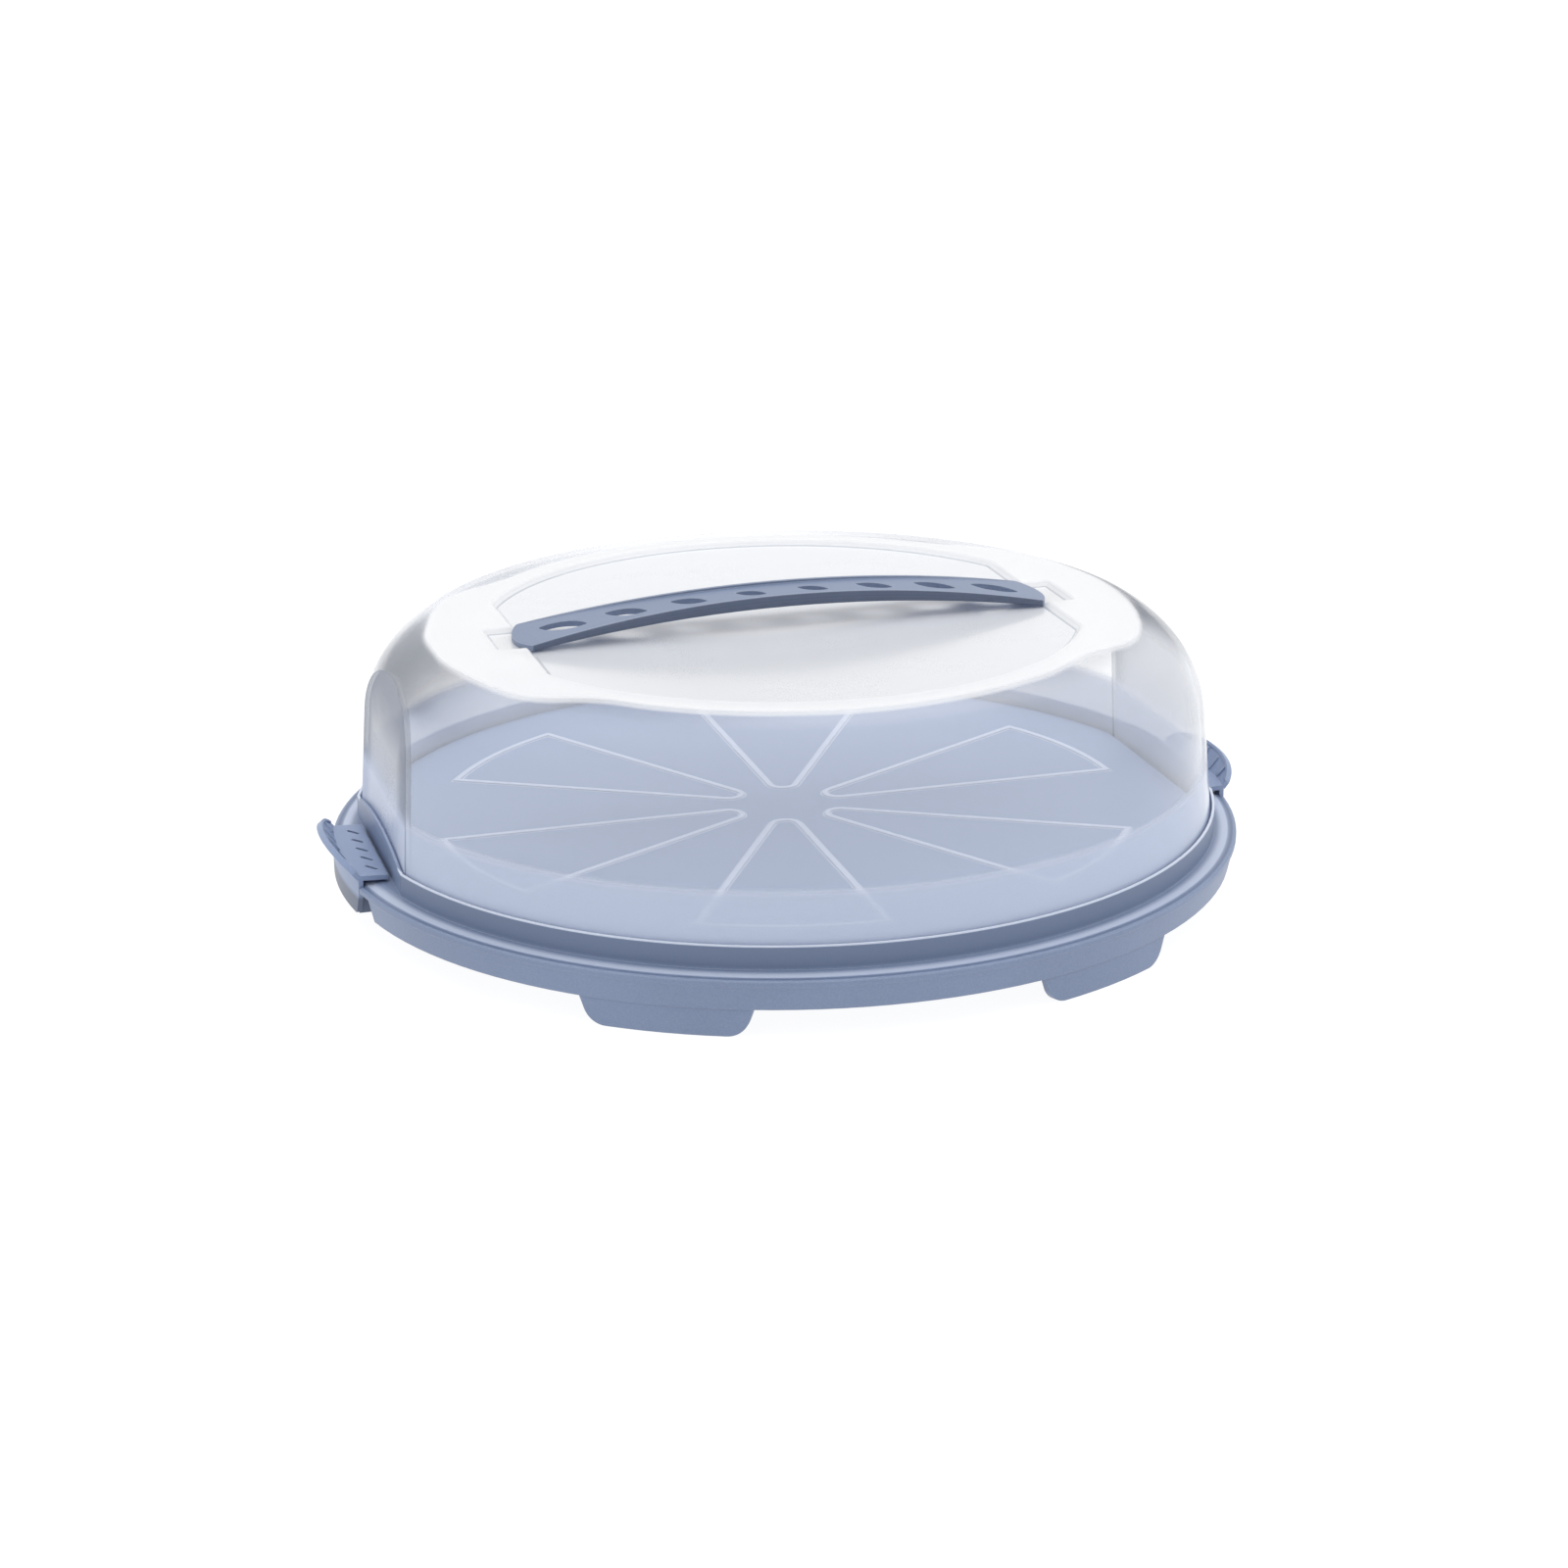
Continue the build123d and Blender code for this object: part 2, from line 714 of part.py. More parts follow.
def lip_outline(inset):
    """Half oval of the lip seen along its thickness, cut level with the clip's sides."""
    half = lip_half_width - inset
    high = lip_length - inset
    base = -lip_root_depth
    rise = (high - base) * lip_fullness
    with BuildSketch() as outline:
        with BuildLine():
            Bezier((-half, base), (-half, base + rise), (-half * lip_fullness, high), (0, high))
            Bezier((0, high), (half * lip_fullness, high), (half, base + rise), (half, base))
            Line((half, base), (-half, base))
        make_face()
        Rectangle(2 * (clip_half_width - inset), 4 * lip_length, mode=Mode.INTERSECT)
    return outline.sketch


def lip_ridges():
    """Raised rays on the lip, fanned out and narrower at their tips."""
    with BuildSketch() as rays:
        for index in range(slit_count):
            step = index - (slit_count - 1) / 2
            reach = ridge_length * (1 - abs(step) * ridge_shrink)
            with Locations(Location((step * slit_pitch * ridge_spread, ridge_start), -step * ridge_fan)):
                Polygon(
                    (-ridge_root_width / 2, 0),
                    (ridge_root_width / 2, 0),
                    (ridge_tip_width / 2, reach),
                    (-ridge_tip_width / 2, reach),
                    align=None,
                )
    return rays.sketch


def lip_layer(face, above, below):
    """Conical layer along the lip's upper face, cut out to the given outline."""
    tilt = radians(lip_tilt)
    across = Plane(
        origin=(lip_root_radius, 0, clip_plate_height),
        x_dir=(0, -1, 0),
        z_dir=(-cos(tilt), 0, sin(tilt)),
    )
    with BuildPart() as layer:
        with BuildSketch(Plane.YZ):
            with BuildLine():
                Polyline(
                    lip_point(-2 * lip_root_depth, above),
                    lip_point(lip_length + spare, above),
                    lip_point(lip_length + spare, -below),
                    lip_point(-2 * lip_root_depth, -below),
                    close=True,
                )
            make_face()
        revolve(axis=Axis.Z, revolution_arc=360)
        with BuildSketch(across):
            add(face)
        extrude(amount=2 * lip_length, both=True, mode=Mode.INTERSECT)
    return layer.part


def cheek_outline():
    """Side view of a cheek: a round eye at the pivot that runs out to the wall."""
    low = pivot_height - cheek_disc_radius
    top = clip_plate_height - clip_plate_thickness
    step_x = ledge_gap_x + clip_side_clearance / 2
    with BuildSketch() as outline:
        with Locations((pivot_x, pivot_height)):
            Circle(cheek_disc_radius)
        with BuildLine():
            Polyline(
                (pivot_x, low),
                (rim_radius, low),
                (rim_radius, top),
                (step_x, top),
                (step_x, rim_underside - cheek_gap),
                (pivot_x + pin_radius, rim_underside - cheek_gap),
                (pivot_x, pivot_height + cheek_disc_radius),
                close=True,
            )
        make_face()
    return outline.sketch


with BuildPart() as clip_right:
    # Outer wall, in line with the skirt of the tray
    with BuildSketch(Plane.YZ):
        with BuildLine():
            top = clip_plate_height
            Polyline(
                (rim_radius - clip_wall, clip_low_height - spare),
                (rim_radius, clip_low_height - spare),
                (rim_radius, top),
                (rim_radius - clip_wall, top),
                close=True,
            )
        make_face()
    revolve(axis=Axis.Z, revolution_arc=360)
    extrude(clip_face_outline(), amount=far_out, mode=Mode.INTERSECT)
    # Plate over the ledge of the tray
    with BuildPart(mode=Mode.PRIVATE) as plate:
        with BuildSketch(Plane.XZ):
            with BuildLine():
                low = clip_plate_height - clip_plate_thickness
                Polyline(
                    (plate_inner_x, low),
                    (rim_radius, low + clip_plate_rise),
                    (rim_radius, clip_plate_height + clip_plate_rise),
                    (plate_inner_x, clip_plate_height),
                    close=True,
                )
            make_face()
        extrude(amount=clip_half_width, both=True)
        with BuildSketch():
            Circle(rim_radius)
        extrude(amount=far_out, mode=Mode.INTERSECT)
    add(plate.part)
    with BuildSketch(Plane.XY.offset(rim_height)):
        with Locations((slit_centre_x, 0)):
            with GridLocations(0, slit_pitch, 1, slit_count):
                SlotOverall(slit_length, slit_width, rotation=slit_turn)
    extrude(amount=clip_plate_height, mode=Mode.SUBTRACT)
    # Lip to pull, with a beaded edge and a fan of raised rays
    add(lip_layer(lip_outline(0), 0, lip_thickness))
    with BuildSketch(mode=Mode.PRIVATE) as bead:
        add(lip_outline(0))
        add(lip_outline(lip_bead_width), mode=Mode.SUBTRACT)
        Rectangle(4 * clip_half_width, 2 * ridge_start, mode=Mode.SUBTRACT)
    add(lip_layer(bead.sketch, lip_bead_height, overlap))
    add(lip_layer(lip_ridges(), lip_bead_height, overlap))
    # Cheeks with the pins that the clip turns on
    with BuildPart(mode=Mode.PRIVATE) as cheeks:
        for hand in (1, -1):
            with BuildSketch(Plane.XZ.offset(-hand * cheek_outer_y)):
                add(cheek_outline())
            extrude(amount=hand * cheek_thickness)
            with BuildSketch(Plane.XZ.offset(-hand * cheek_inner_y)):
                with Locations((pivot_x, pivot_height)):
                    Circle(pin_radius)
            extrude(amount=hand * (cheek_gap + lug_thickness))
        with BuildSketch():
            Circle(rim_radius - clip_wall / 2)
        extrude(amount=far_out, mode=Mode.INTERSECT)
    add(cheeks.part)
clip_right.part.label = "clip_right"
export_step(clip_right.part, "parts/clip_right.step")

with BuildPart() as clip_left:
    add(clip_right.part.rotate(Axis.Z, 180))
clip_left.part.label = "clip_left"
export_step(clip_left.part, "parts/clip_left.step")
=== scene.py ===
# %% [markdown]
# # A flat cake keeper: blue tray, clear dome, arched handle and two clips
# The real keeper is moulded in two plastics. The tray, the handle and the clips are a
# satin slate blue, and the dome is a clear plastic with a slight milkiness and a frosted
# panel under the handle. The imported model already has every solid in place, so this
# lesson adds the finishes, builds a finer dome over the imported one, and sets the studio.

from math import acos, cos, pi, radians, sin, sqrt, tan

import bmesh
import bpy
from mathutils import Matrix, Vector


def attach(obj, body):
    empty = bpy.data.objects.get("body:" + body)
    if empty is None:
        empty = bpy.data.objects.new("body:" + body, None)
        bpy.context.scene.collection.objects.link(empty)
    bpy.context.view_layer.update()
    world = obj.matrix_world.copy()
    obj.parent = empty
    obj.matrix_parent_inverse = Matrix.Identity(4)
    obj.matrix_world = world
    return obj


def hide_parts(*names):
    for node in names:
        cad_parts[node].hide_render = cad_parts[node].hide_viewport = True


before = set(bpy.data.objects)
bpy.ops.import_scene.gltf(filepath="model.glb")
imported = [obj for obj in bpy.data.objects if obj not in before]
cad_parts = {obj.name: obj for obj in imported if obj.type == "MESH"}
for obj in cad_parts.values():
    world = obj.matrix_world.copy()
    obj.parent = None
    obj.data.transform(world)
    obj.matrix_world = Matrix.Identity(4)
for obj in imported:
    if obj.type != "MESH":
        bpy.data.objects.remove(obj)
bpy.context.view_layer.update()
scene = bpy.context.scene

# %% [markdown]
# ## Small helpers for node work
# A material or a node group is a graph of small steps. A few helpers keep the cells below
# short: they start a group with named sockets, place a node with its settings and wires,
# do sums, make soft steps and mix colours. A group could also be drawn by hand in the
# shader editor; writing it down keeps every value in sight.

# %% Helpers: start a node group, place a node, do sums with it


def start_group(name, inputs, outputs):
    """A shader node group with named value, colour or vector sockets."""
    group = bpy.data.node_groups.new(name, "ShaderNodeTree")
    kinds = {"value": "NodeSocketFloat", "colour": "NodeSocketColor", "vector": "NodeSocketVector"}
    for label, kind, default in inputs:
        socket = group.interface.new_socket(label, in_out="INPUT", socket_type=kinds[kind])
        if default is not None:
            socket.default_value = default
    for label, kind in outputs:
        group.interface.new_socket(label, in_out="OUTPUT", socket_type=kinds[kind])
    ends = group.nodes.new("NodeGroupInput"), group.nodes.new("NodeGroupOutput")
    return group, ends[0].outputs, ends[1].inputs


def place(tree, kind, wires=(), **settings):
    """A new node, its settings, and its inputs wired to sockets or set to plain values."""
    node = tree.nodes.new(kind)
    for key, value in settings.items():
        setattr(node, key, value)
    for key, value in dict(wires).items():
        if isinstance(value, bpy.types.NodeSocket):
            tree.links.new(value, node.inputs[key])
        else:
            node.inputs[key].default_value = value
    return node


def maths(tree, step, first, second=0.0, third=0.0):
    """One Math node and its result."""
    wires = {0: first, 1: second}
    if step in ("MULTIPLY_ADD", "WRAP"):
        wires[2] = third
    return place(tree, "ShaderNodeMath", wires, operation=step).outputs[0]


def times(tree, first, second):
    """The product of two values, which is also how two masks are joined."""
    return maths(tree, "MULTIPLY", first, second)


def soft_step(tree, value, start, end):
    """Rises smoothly from 0 at start to 1 at end; start may lie above end."""
    wires = {"Value": value, "From Min": start, "From Max": end}
    node = place(tree, "ShaderNodeMapRange", wires, interpolation_type="SMOOTHSTEP")
    return node.outputs["Result"]


def blend_colour(tree, share, first, second):
    """Mixes two colours by a share from 0 to 1."""
    node = place(tree, "ShaderNodeMix", data_type="RGBA")
    for socket, value in zip((node.inputs[0], node.inputs[6], node.inputs[7]),
                             (share, first, second)):
        if isinstance(value, bpy.types.NodeSocket):
            tree.links.new(value, socket)
        elif isinstance(value, (int, float)):
            socket.default_value = value
        else:
            socket.default_value = (*value, 1.0)
    return node.outputs[2]


def tint(tree, colour, mask, strength, other):
    """Mixes another colour into a colour where a mask is, as far as the strength says."""
    return blend_colour(tree, times(tree, mask, strength), colour, other)


print("helpers ready")

# %% [markdown]
# ## Effect: where on the keeper a point lies
# The keeper is round, so most of its finishes change with the distance from the middle
# and with the height. This group measures both from the object's own coordinates. They
# move with the piece, so the finish stays put when the dome is lifted or a clip is tipped.
# Side and Depth are distances from the two middle planes, so a finish that uses them is
# alike on opposite sides. Only the slices on the floor need the signed Right and Far.

# %% Build the place_on_keeper group
place_group, _, place_out = start_group(
    "place_on_keeper", [],
    [(label, "value") for label in ("Radius", "Height", "Side", "Depth", "Right", "Far")],
)
own_place = place(place_group, "ShaderNodeTexCoord").outputs["Object"]
split = place(place_group, "ShaderNodeSeparateXYZ", {0: own_place})
side = maths(place_group, "ABSOLUTE", split.outputs["X"])
depth = maths(place_group, "ABSOLUTE", split.outputs["Y"])
flat = place(place_group, "ShaderNodeCombineXYZ", {"X": side, "Y": depth})
radius = place(place_group, "ShaderNodeVectorMath", {0: flat.outputs[0]}, operation="LENGTH")
for label, source in (("Radius", radius.outputs["Value"]), ("Height", split.outputs["Z"]),
                      ("Side", side), ("Depth", depth),
                      ("Right", split.outputs["X"]), ("Far", split.outputs["Y"])):
    place_group.links.new(source, place_out[label])
print("place_on_keeper gives", [s.name for s in place_out if s.name])

# %% [markdown]
# ## Effect: moulded grain
# A satin plastic part takes a fine spark-eroded texture from its mould. It breaks up the
# highlights and makes some places a little duller than others. Two noises do it: a fine
# one for the grain itself and a broad one for slow changes in gloss and colour. A bump
# from the fine noise is enough, because the grain is far too shallow to show in outline.

# %% Build the moulded_grain group
grain_group, grain_in, grain_out = start_group(
    "moulded_grain",
    [("Fineness", "value", 1500.0), ("Gloss", "value", 0.4), ("Gloss spread", "value", 0.08),
     ("Patch size", "value", 22.0)],
    [("Height", "value"), ("Roughness", "value"), ("Patches", "value")],
)
own_place = place(grain_group, "ShaderNodeTexCoord").outputs["Object"]
fine = place(grain_group, "ShaderNodeTexNoise",
             {"Vector": own_place, "Scale": grain_in["Fineness"], "Detail": 2.0, "Roughness": 0.6})
broad = place(grain_group, "ShaderNodeTexNoise",
              {"Vector": own_place, "Scale": grain_in["Patch size"], "Detail": 4.0,
               "Roughness": 0.55})
uneven = maths(grain_group, "ADD", fine.outputs[0], broad.outputs[0])
uneven = maths(grain_group, "SUBTRACT", uneven, 1.0)
rough = maths(grain_group, "MULTIPLY_ADD", uneven, grain_in["Gloss spread"], grain_in["Gloss"])
grain_group.links.new(fine.outputs[0], grain_out["Height"])
grain_group.links.new(rough, grain_out["Roughness"])
grain_group.links.new(broad.outputs[0], grain_out["Patches"])
print("moulded_grain takes", [s.name for s in grain_in if s.name])

# %% [markdown]
# ## Effect: rounded edges, painted lighter
# No moulded edge is truly sharp. A radius of about half a millimetre catches the light and
# draws the fine bright lines along the rim, the ring wall and the handle. The Bevel node
# works out such a rounded normal while rendering, without changing the mesh. Comparing it
# with the flat normal also tells where an edge is, which gives a mask for a painted highlight
# along the edges, partly handling wear as well.

# %% Build the rounded_edges group
edge_group, edge_in, edge_out = start_group(
    "rounded_edges", [("Edge radius", "value", 0.0005)], [("Normal", "vector"), ("Edge", "value")]
)
rounded = place(edge_group, "ShaderNodeBevel", {"Radius": edge_in["Edge radius"]}, samples=6)
facing = place(edge_group, "ShaderNodeNewGeometry")
agree = place(edge_group, "ShaderNodeVectorMath",
              {0: rounded.outputs[0], 1: facing.outputs["Normal"]}, operation="DOT_PRODUCT")
edge = soft_step(edge_group, agree.outputs["Value"], 0.995, 0.80)
edge_group.links.new(rounded.outputs[0], edge_out["Normal"])
edge_group.links.new(edge, edge_out["Edge"])
print("rounded_edges puts out", [s.name for s in edge_out if s.name])

# %% [markdown]
# ## Finish: slate blue plastic
# The blue plastic is coloured right through, so wear doesn't change its colour much. Edges
# get a lighter colour, a painted highlight that is partly handling wear as well, and broad
# patches differ by a shade. One recipe serves the tray, the handle and the clips, with its own
# gloss, edge radius and strength of painted edge highlight for each. The handle is a darker
# and the clips a lighter copy of the tray's blue, as painted shade and painted light that make
# up for how much light each part gets in the studio. The alternative, one shared material,
# would make all of them wear alike.

# %% Write the blue plastic recipe
blue = (0.165, 0.216, 0.342)
pale_blue = (0.46, 0.53, 0.66)


def blue_plastic(name, gloss, edge_radius, edge_highlight=0.35, shade=1.0):
    """A blue material, its tree, its shader and its colour so far, for more to be added."""
    material = bpy.data.materials.new(name)
    material.use_nodes = True
    tree = material.node_tree
    skin = tree.nodes["Principled BSDF"]
    grain = place(tree, "ShaderNodeGroup", node_tree=grain_group)
    grain.inputs["Gloss"].default_value = gloss
    edges = place(tree, "ShaderNodeGroup", node_tree=edge_group)
    edges.inputs["Edge radius"].default_value = edge_radius
    patch = soft_step(tree, grain.outputs["Patches"], 0.35, 0.65)
    # shade scales the blue into a darker or lighter copy: painted shade or painted light.
    body = tuple(c * shade for c in blue)
    darker, lighter = (tuple(c * (1 + change) for c in body) for change in (-0.035, 0.035))
    colour = blend_colour(tree, patch, darker, lighter)
    speck = soft_step(tree, grain.outputs["Height"], 0.25, 0.75)
    colour = tint(tree, colour, speck, 0.10, pale_blue)
    # Painted highlight along the edges, partly handling wear as well.
    colour = tint(tree, colour, edges.outputs["Edge"], edge_highlight, pale_blue)
    bump = place(tree, "ShaderNodeBump", {"Height": grain.outputs["Height"], "Strength": 0.08,
                                          "Distance": 0.0001, "Normal": edges.outputs["Normal"]})
    tree.links.new(colour, skin.inputs["Base Color"])
    tree.links.new(grain.outputs["Roughness"], skin.inputs["Roughness"])
    tree.links.new(bump.outputs[0], skin.inputs["Normal"])
    skin.inputs["IOR"].default_value = 1.49
    return material, tree, skin, colour


tray_blue, tray_tree, tray_skin, tray_colour = blue_plastic("tray_blue", 0.40, 0.0006)
# The handle is a darker and the clips a lighter copy of one blue: painted shade and painted light.
handle_blue, handle_tree, handle_skin, handle_colour = blue_plastic(
    "handle_blue", 0.36, 0.0006, edge_highlight=0.85, shade=0.86)
clip_blue, clip_tree, clip_skin, clip_colour = blue_plastic(
    "clip_blue", 0.38, 0.0005, edge_highlight=0.50, shade=1.25)
print("blue finishes", [m.name for m in (tray_blue, handle_blue, clip_blue)])

# %% [markdown]
# ## Detail: the clips' dark lower edge
# Below the hinge each clip turns under the rim, where little light reaches. The studio is
# bright from all sides and would light it up, so a darker shade below the hinge keeps it.

# %% Darken the clips below the hinge
dark_blue = (0.060, 0.080, 0.130)
spot = place(clip_tree, "ShaderNodeGroup", node_tree=place_group)
below_hinge = soft_step(clip_tree, spot.outputs["Height"], 0.0190, 0.0160)
clip_colour = tint(clip_tree, clip_colour, below_hinge, 0.85, dark_blue)
clip_tree.links.new(clip_colour, clip_skin.inputs["Base Color"])
print("the clips are darkest below 16 mm")

# %% [markdown]
# ## Detail: slice outlines on the tray floor
# The raised outlines that show where to cut are rubbed by cakes and knives, so they look
# paler than the floor, and so does a strip beside them. Each slice is a wedge with a
# rounded tip and a round far end. All six are alike, so the angle round the middle is
# wrapped into one slice, and the distances from its side, its tip and its far end say how
# far inside the outline a point lies. An image could hold the lines too, but it would
# blur from close by, and these sums don't.

# %% How far inside its slice a point of the floor lies
slice_reach, slice_round = 0.134, 0.0064
slice_half, slice_pitch, slice_turn = radians(15), radians(60), radians(15)
tip_middle = slice_round / sin(slice_half)
tip_tangent = slice_round / tan(slice_half) * cos(slice_half)
spot = place(tray_tree, "ShaderNodeGroup", node_tree=place_group)
high, out_from_middle = spot.outputs["Height"], spot.outputs["Radius"]
turn = maths(tray_tree, "ARCTAN2", spot.outputs["Far"], spot.outputs["Right"])
turn = maths(tray_tree, "SUBTRACT", turn, slice_turn)
turn = maths(tray_tree, "WRAP", turn, slice_pitch / 2, -slice_pitch / 2)
outwards = times(tray_tree, out_from_middle, maths(tray_tree, "COSINE", turn))
across = maths(tray_tree, "ABSOLUTE", maths(tray_tree, "SINE", turn))
across = times(tray_tree, out_from_middle, across)
from_side = times(tray_tree, outwards, sin(slice_half))
from_side = maths(tray_tree, "MULTIPLY_ADD", across, -cos(slice_half), from_side)
past_tip = maths(tray_tree, "SUBTRACT", outwards, tip_middle)
to_tip = place(tray_tree, "ShaderNodeCombineXYZ", {0: past_tip, 1: across}).outputs[0]
to_tip = place(tray_tree, "ShaderNodeVectorMath", {0: to_tip}, operation="LENGTH")
from_tip = maths(tray_tree, "SUBTRACT", slice_round, to_tip.outputs["Value"])
at_tip = maths(tray_tree, "LESS_THAN", outwards, tip_tangent)
past_round = maths(tray_tree, "SUBTRACT", 1.0, at_tip)
from_side = maths(tray_tree, "ADD", times(tray_tree, from_tip, at_tip),
                  times(tray_tree, from_side, past_round))
from_end = maths(tray_tree, "SUBTRACT", slice_reach, out_from_middle)
into_slice = maths(tray_tree, "MINIMUM", from_side, from_end)
print("the round of a slice's tip ends", round(tip_tangent * 1000, 1), "mm from the middle")

# %% [markdown]
# ## Detail: the colour of the floor
# The floor faces straight up and catches the light from above, so it is painted lighter than
# the rim round it, as painted light. It is the only part of the tray at its height inside the
# ring wall, so a height and a distance pick it out. A second material on the floor's faces
# would do it too, but the imported mesh stays as it is.

# %% Paint the floor and its slice outlines
line_outer, line_inner, line_soft = -0.0010, 0.0032, 0.0007
on_floor = times(tray_tree, soft_step(tray_tree, high, 0.0256, 0.0261),
                 soft_step(tray_tree, out_from_middle, 0.1580, 0.1550))
line_mask = times(tray_tree,
                  soft_step(tray_tree, into_slice, line_outer, line_outer + line_soft),
                  soft_step(tray_tree, into_slice, line_inner, line_inner - line_soft))
line_mask = times(tray_tree, line_mask, on_floor)
# Painted light: the floor is lighter for the light that falls on it from above.
tray_colour = tint(tray_tree, tray_colour, on_floor, 0.60, (0.245, 0.320, 0.490))
tray_colour = tint(tray_tree, tray_colour, line_mask, 0.70, (0.56, 0.62, 0.76))
print("slice outlines: paler over", round((line_inner - line_outer) * 1000, 1), "mm")

# %% [markdown]
# ## Detail: painted highlights and shade round the rim
# The upward faces of the ledge and the ring wall's top catch the light from above, so they
# are painted brighter as highlights. The outer side of the ring wall is painted darker as
# shade, and the step where the rim's bead starts gets a thin dark line of painted shade. All
# of them run right round, so a band between two distances from the middle, or between two
# heights, is all that is needed for each. The two tongues that the clips hold on to stand
# higher than all else on the tray, and are given a colour a shade darker than the ring's top.

# %% Draw the bands round the rim


def band(tree, value, start, full, last, end):
    """A mask that rises from start to full and falls again from last to end."""
    rise, fall = soft_step(tree, value, start, full), soft_step(tree, value, end, last)
    return times(tree, rise, fall)


low_ledge = band(tray_tree, high, 0.0212, 0.0214, 0.0229, 0.0231)
ledge_highlight = band(tray_tree, out_from_middle, 0.1646, 0.1676, 0.1688, 0.1698)
rim_step_shade = band(tray_tree, out_from_middle, 0.1699, 0.1704, 0.1709, 0.1714)
ring_wall_shade = times(tray_tree, band(tray_tree, high, 0.0229, 0.0238, 0.0304, 0.0307),
                   soft_step(tray_tree, out_from_middle, 0.1634, 0.1638))
ring_top_highlight = times(tray_tree, soft_step(tray_tree, high, 0.0307, 0.0309),
                 soft_step(tray_tree, out_from_middle, 0.1622, 0.1628))
tongues = soft_step(tray_tree, high, 0.0316, 0.0330)
# Painted highlights on the ledge and the ring's top; painted shade on the ring wall's outer side
# and at the rim's step.
for mask, strength, shade in (
        (times(tray_tree, low_ledge, ledge_highlight), 0.80, (0.54, 0.60, 0.74)),
        (times(tray_tree, low_ledge, rim_step_shade), 0.55, (0.08, 0.11, 0.19)),
        (ring_wall_shade, 0.75, (0.115, 0.155, 0.250)),
        (ring_top_highlight, 0.90, (0.62, 0.68, 0.80)),
        (tongues, 0.60, (0.25, 0.31, 0.46))):
    tray_colour = tint(tray_tree, tray_colour, mask, strength, shade)
tray_tree.links.new(tray_colour, tray_skin.inputs["Base Color"])
print("four bands round the rim, and a shade for the tongues")

# %% [markdown]
# ## Detail: painted shade along the handle's sides
# A shallow groove runs along each side of the strap, a little above the middle of its
# thickness, and below it the side turns under. The strap is an arch that is thickest in the
# middle, so the groove follows a share of the thickness, worked out from the same arch. It is
# too fine to model, so a dark line of painted shade stands for it, and the side below it is
# painted darker as the shade where it turns under. The whole side is painted darker than the
# top as well, as shade, since it faces away from the light above.

# %% Draw the groove
strap_tip, strap_top, strap_fall = 0.1036, 0.1124, 0.0106
strap_thin, strap_thick = 0.0018, 0.0044
strap_half, strap_widening, groove_share = 0.0110, 0.0046, 0.44
spot = place(handle_tree, "ShaderNodeGroup", node_tree=place_group)
along = maths(handle_tree, "DIVIDE", spot.outputs["Side"], strap_tip)
along = times(handle_tree, along, along)
arch = maths(handle_tree, "MULTIPLY_ADD", along, -strap_fall, strap_top)
below_arch = maths(handle_tree, "SUBTRACT", arch, spot.outputs["Height"])
thickness = maths(handle_tree, "MULTIPLY_ADD", along, strap_thin - strap_thick, strap_thick)
down_share = maths(handle_tree, "DIVIDE", below_arch, thickness)
half_wide = maths(handle_tree, "MULTIPLY_ADD", along, strap_widening, strap_half)
past_top = maths(handle_tree, "SUBTRACT", spot.outputs["Depth"], half_wide)
on_side = soft_step(handle_tree, past_top, -0.0005, -0.0001)
groove = band(handle_tree, down_share, groove_share - 0.08, groove_share - 0.02,
              groove_share + 0.02, groove_share + 0.08)
groove = times(handle_tree, groove, on_side)
under_turn_shade = times(handle_tree, soft_step(handle_tree, down_share, 0.45, 0.75), on_side)
# Painted shade: the under-turn, the groove's line and the whole side.
for mask, strength, shade in ((under_turn_shade, 0.45, (0.085, 0.110, 0.175)),
                              (groove, 0.60, (0.075, 0.100, 0.165)),
                              (on_side, 0.75, dark_blue)):
    handle_colour = tint(handle_tree, handle_colour, mask, strength, shade)
handle_tree.links.new(handle_colour, handle_skin.inputs["Base Color"])
print("groove at", round(groove_share * strap_thick * 1000, 1), "mm below the top in the middle")

# %% Hand out the blue finishes
for node, material in (("tray", tray_blue), ("carry_handle", handle_blue),
                       ("clip_left", clip_blue), ("clip_right", clip_blue)):
    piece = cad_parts[node]
    if not piece.material_slots:
        piece.data.materials.append(material)
    for slot in piece.material_slots:
        slot.material = material
print("finished", len(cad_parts) - 1, "blue nodes")

# %% [markdown]
# ## The dome's side view
# The dome is a turned shape with two flat sides. Its side view is a straight wall that
# leans in, a wide arc, a tight arc and a crown that rises gently to the handle panel. A
# lathe could turn it, but then the flat sides would have to be cut off, which leaves hard
# facets along the cut. Here the same side view gives a radius for every height, so that
# the flat sides can be taken off by simple sums, with the fold between them rounded.

# %% Values of the dome's side view, in metres
dome_foot, dome_foot_height = 0.16285, 0.0236
dome_height = 0.1022
panel_radius, panel_half_length, panel_depth, panel_slope = 0.1132, 0.1017, 0.0023, 0.0022
lean, joint, crown_fall = radians(4.53), radians(59.3), radians(4.0)
wide_arc, tight_arc = 0.0413, 0.0136


def outward(angle):
    return Vector((cos(angle), sin(angle)))


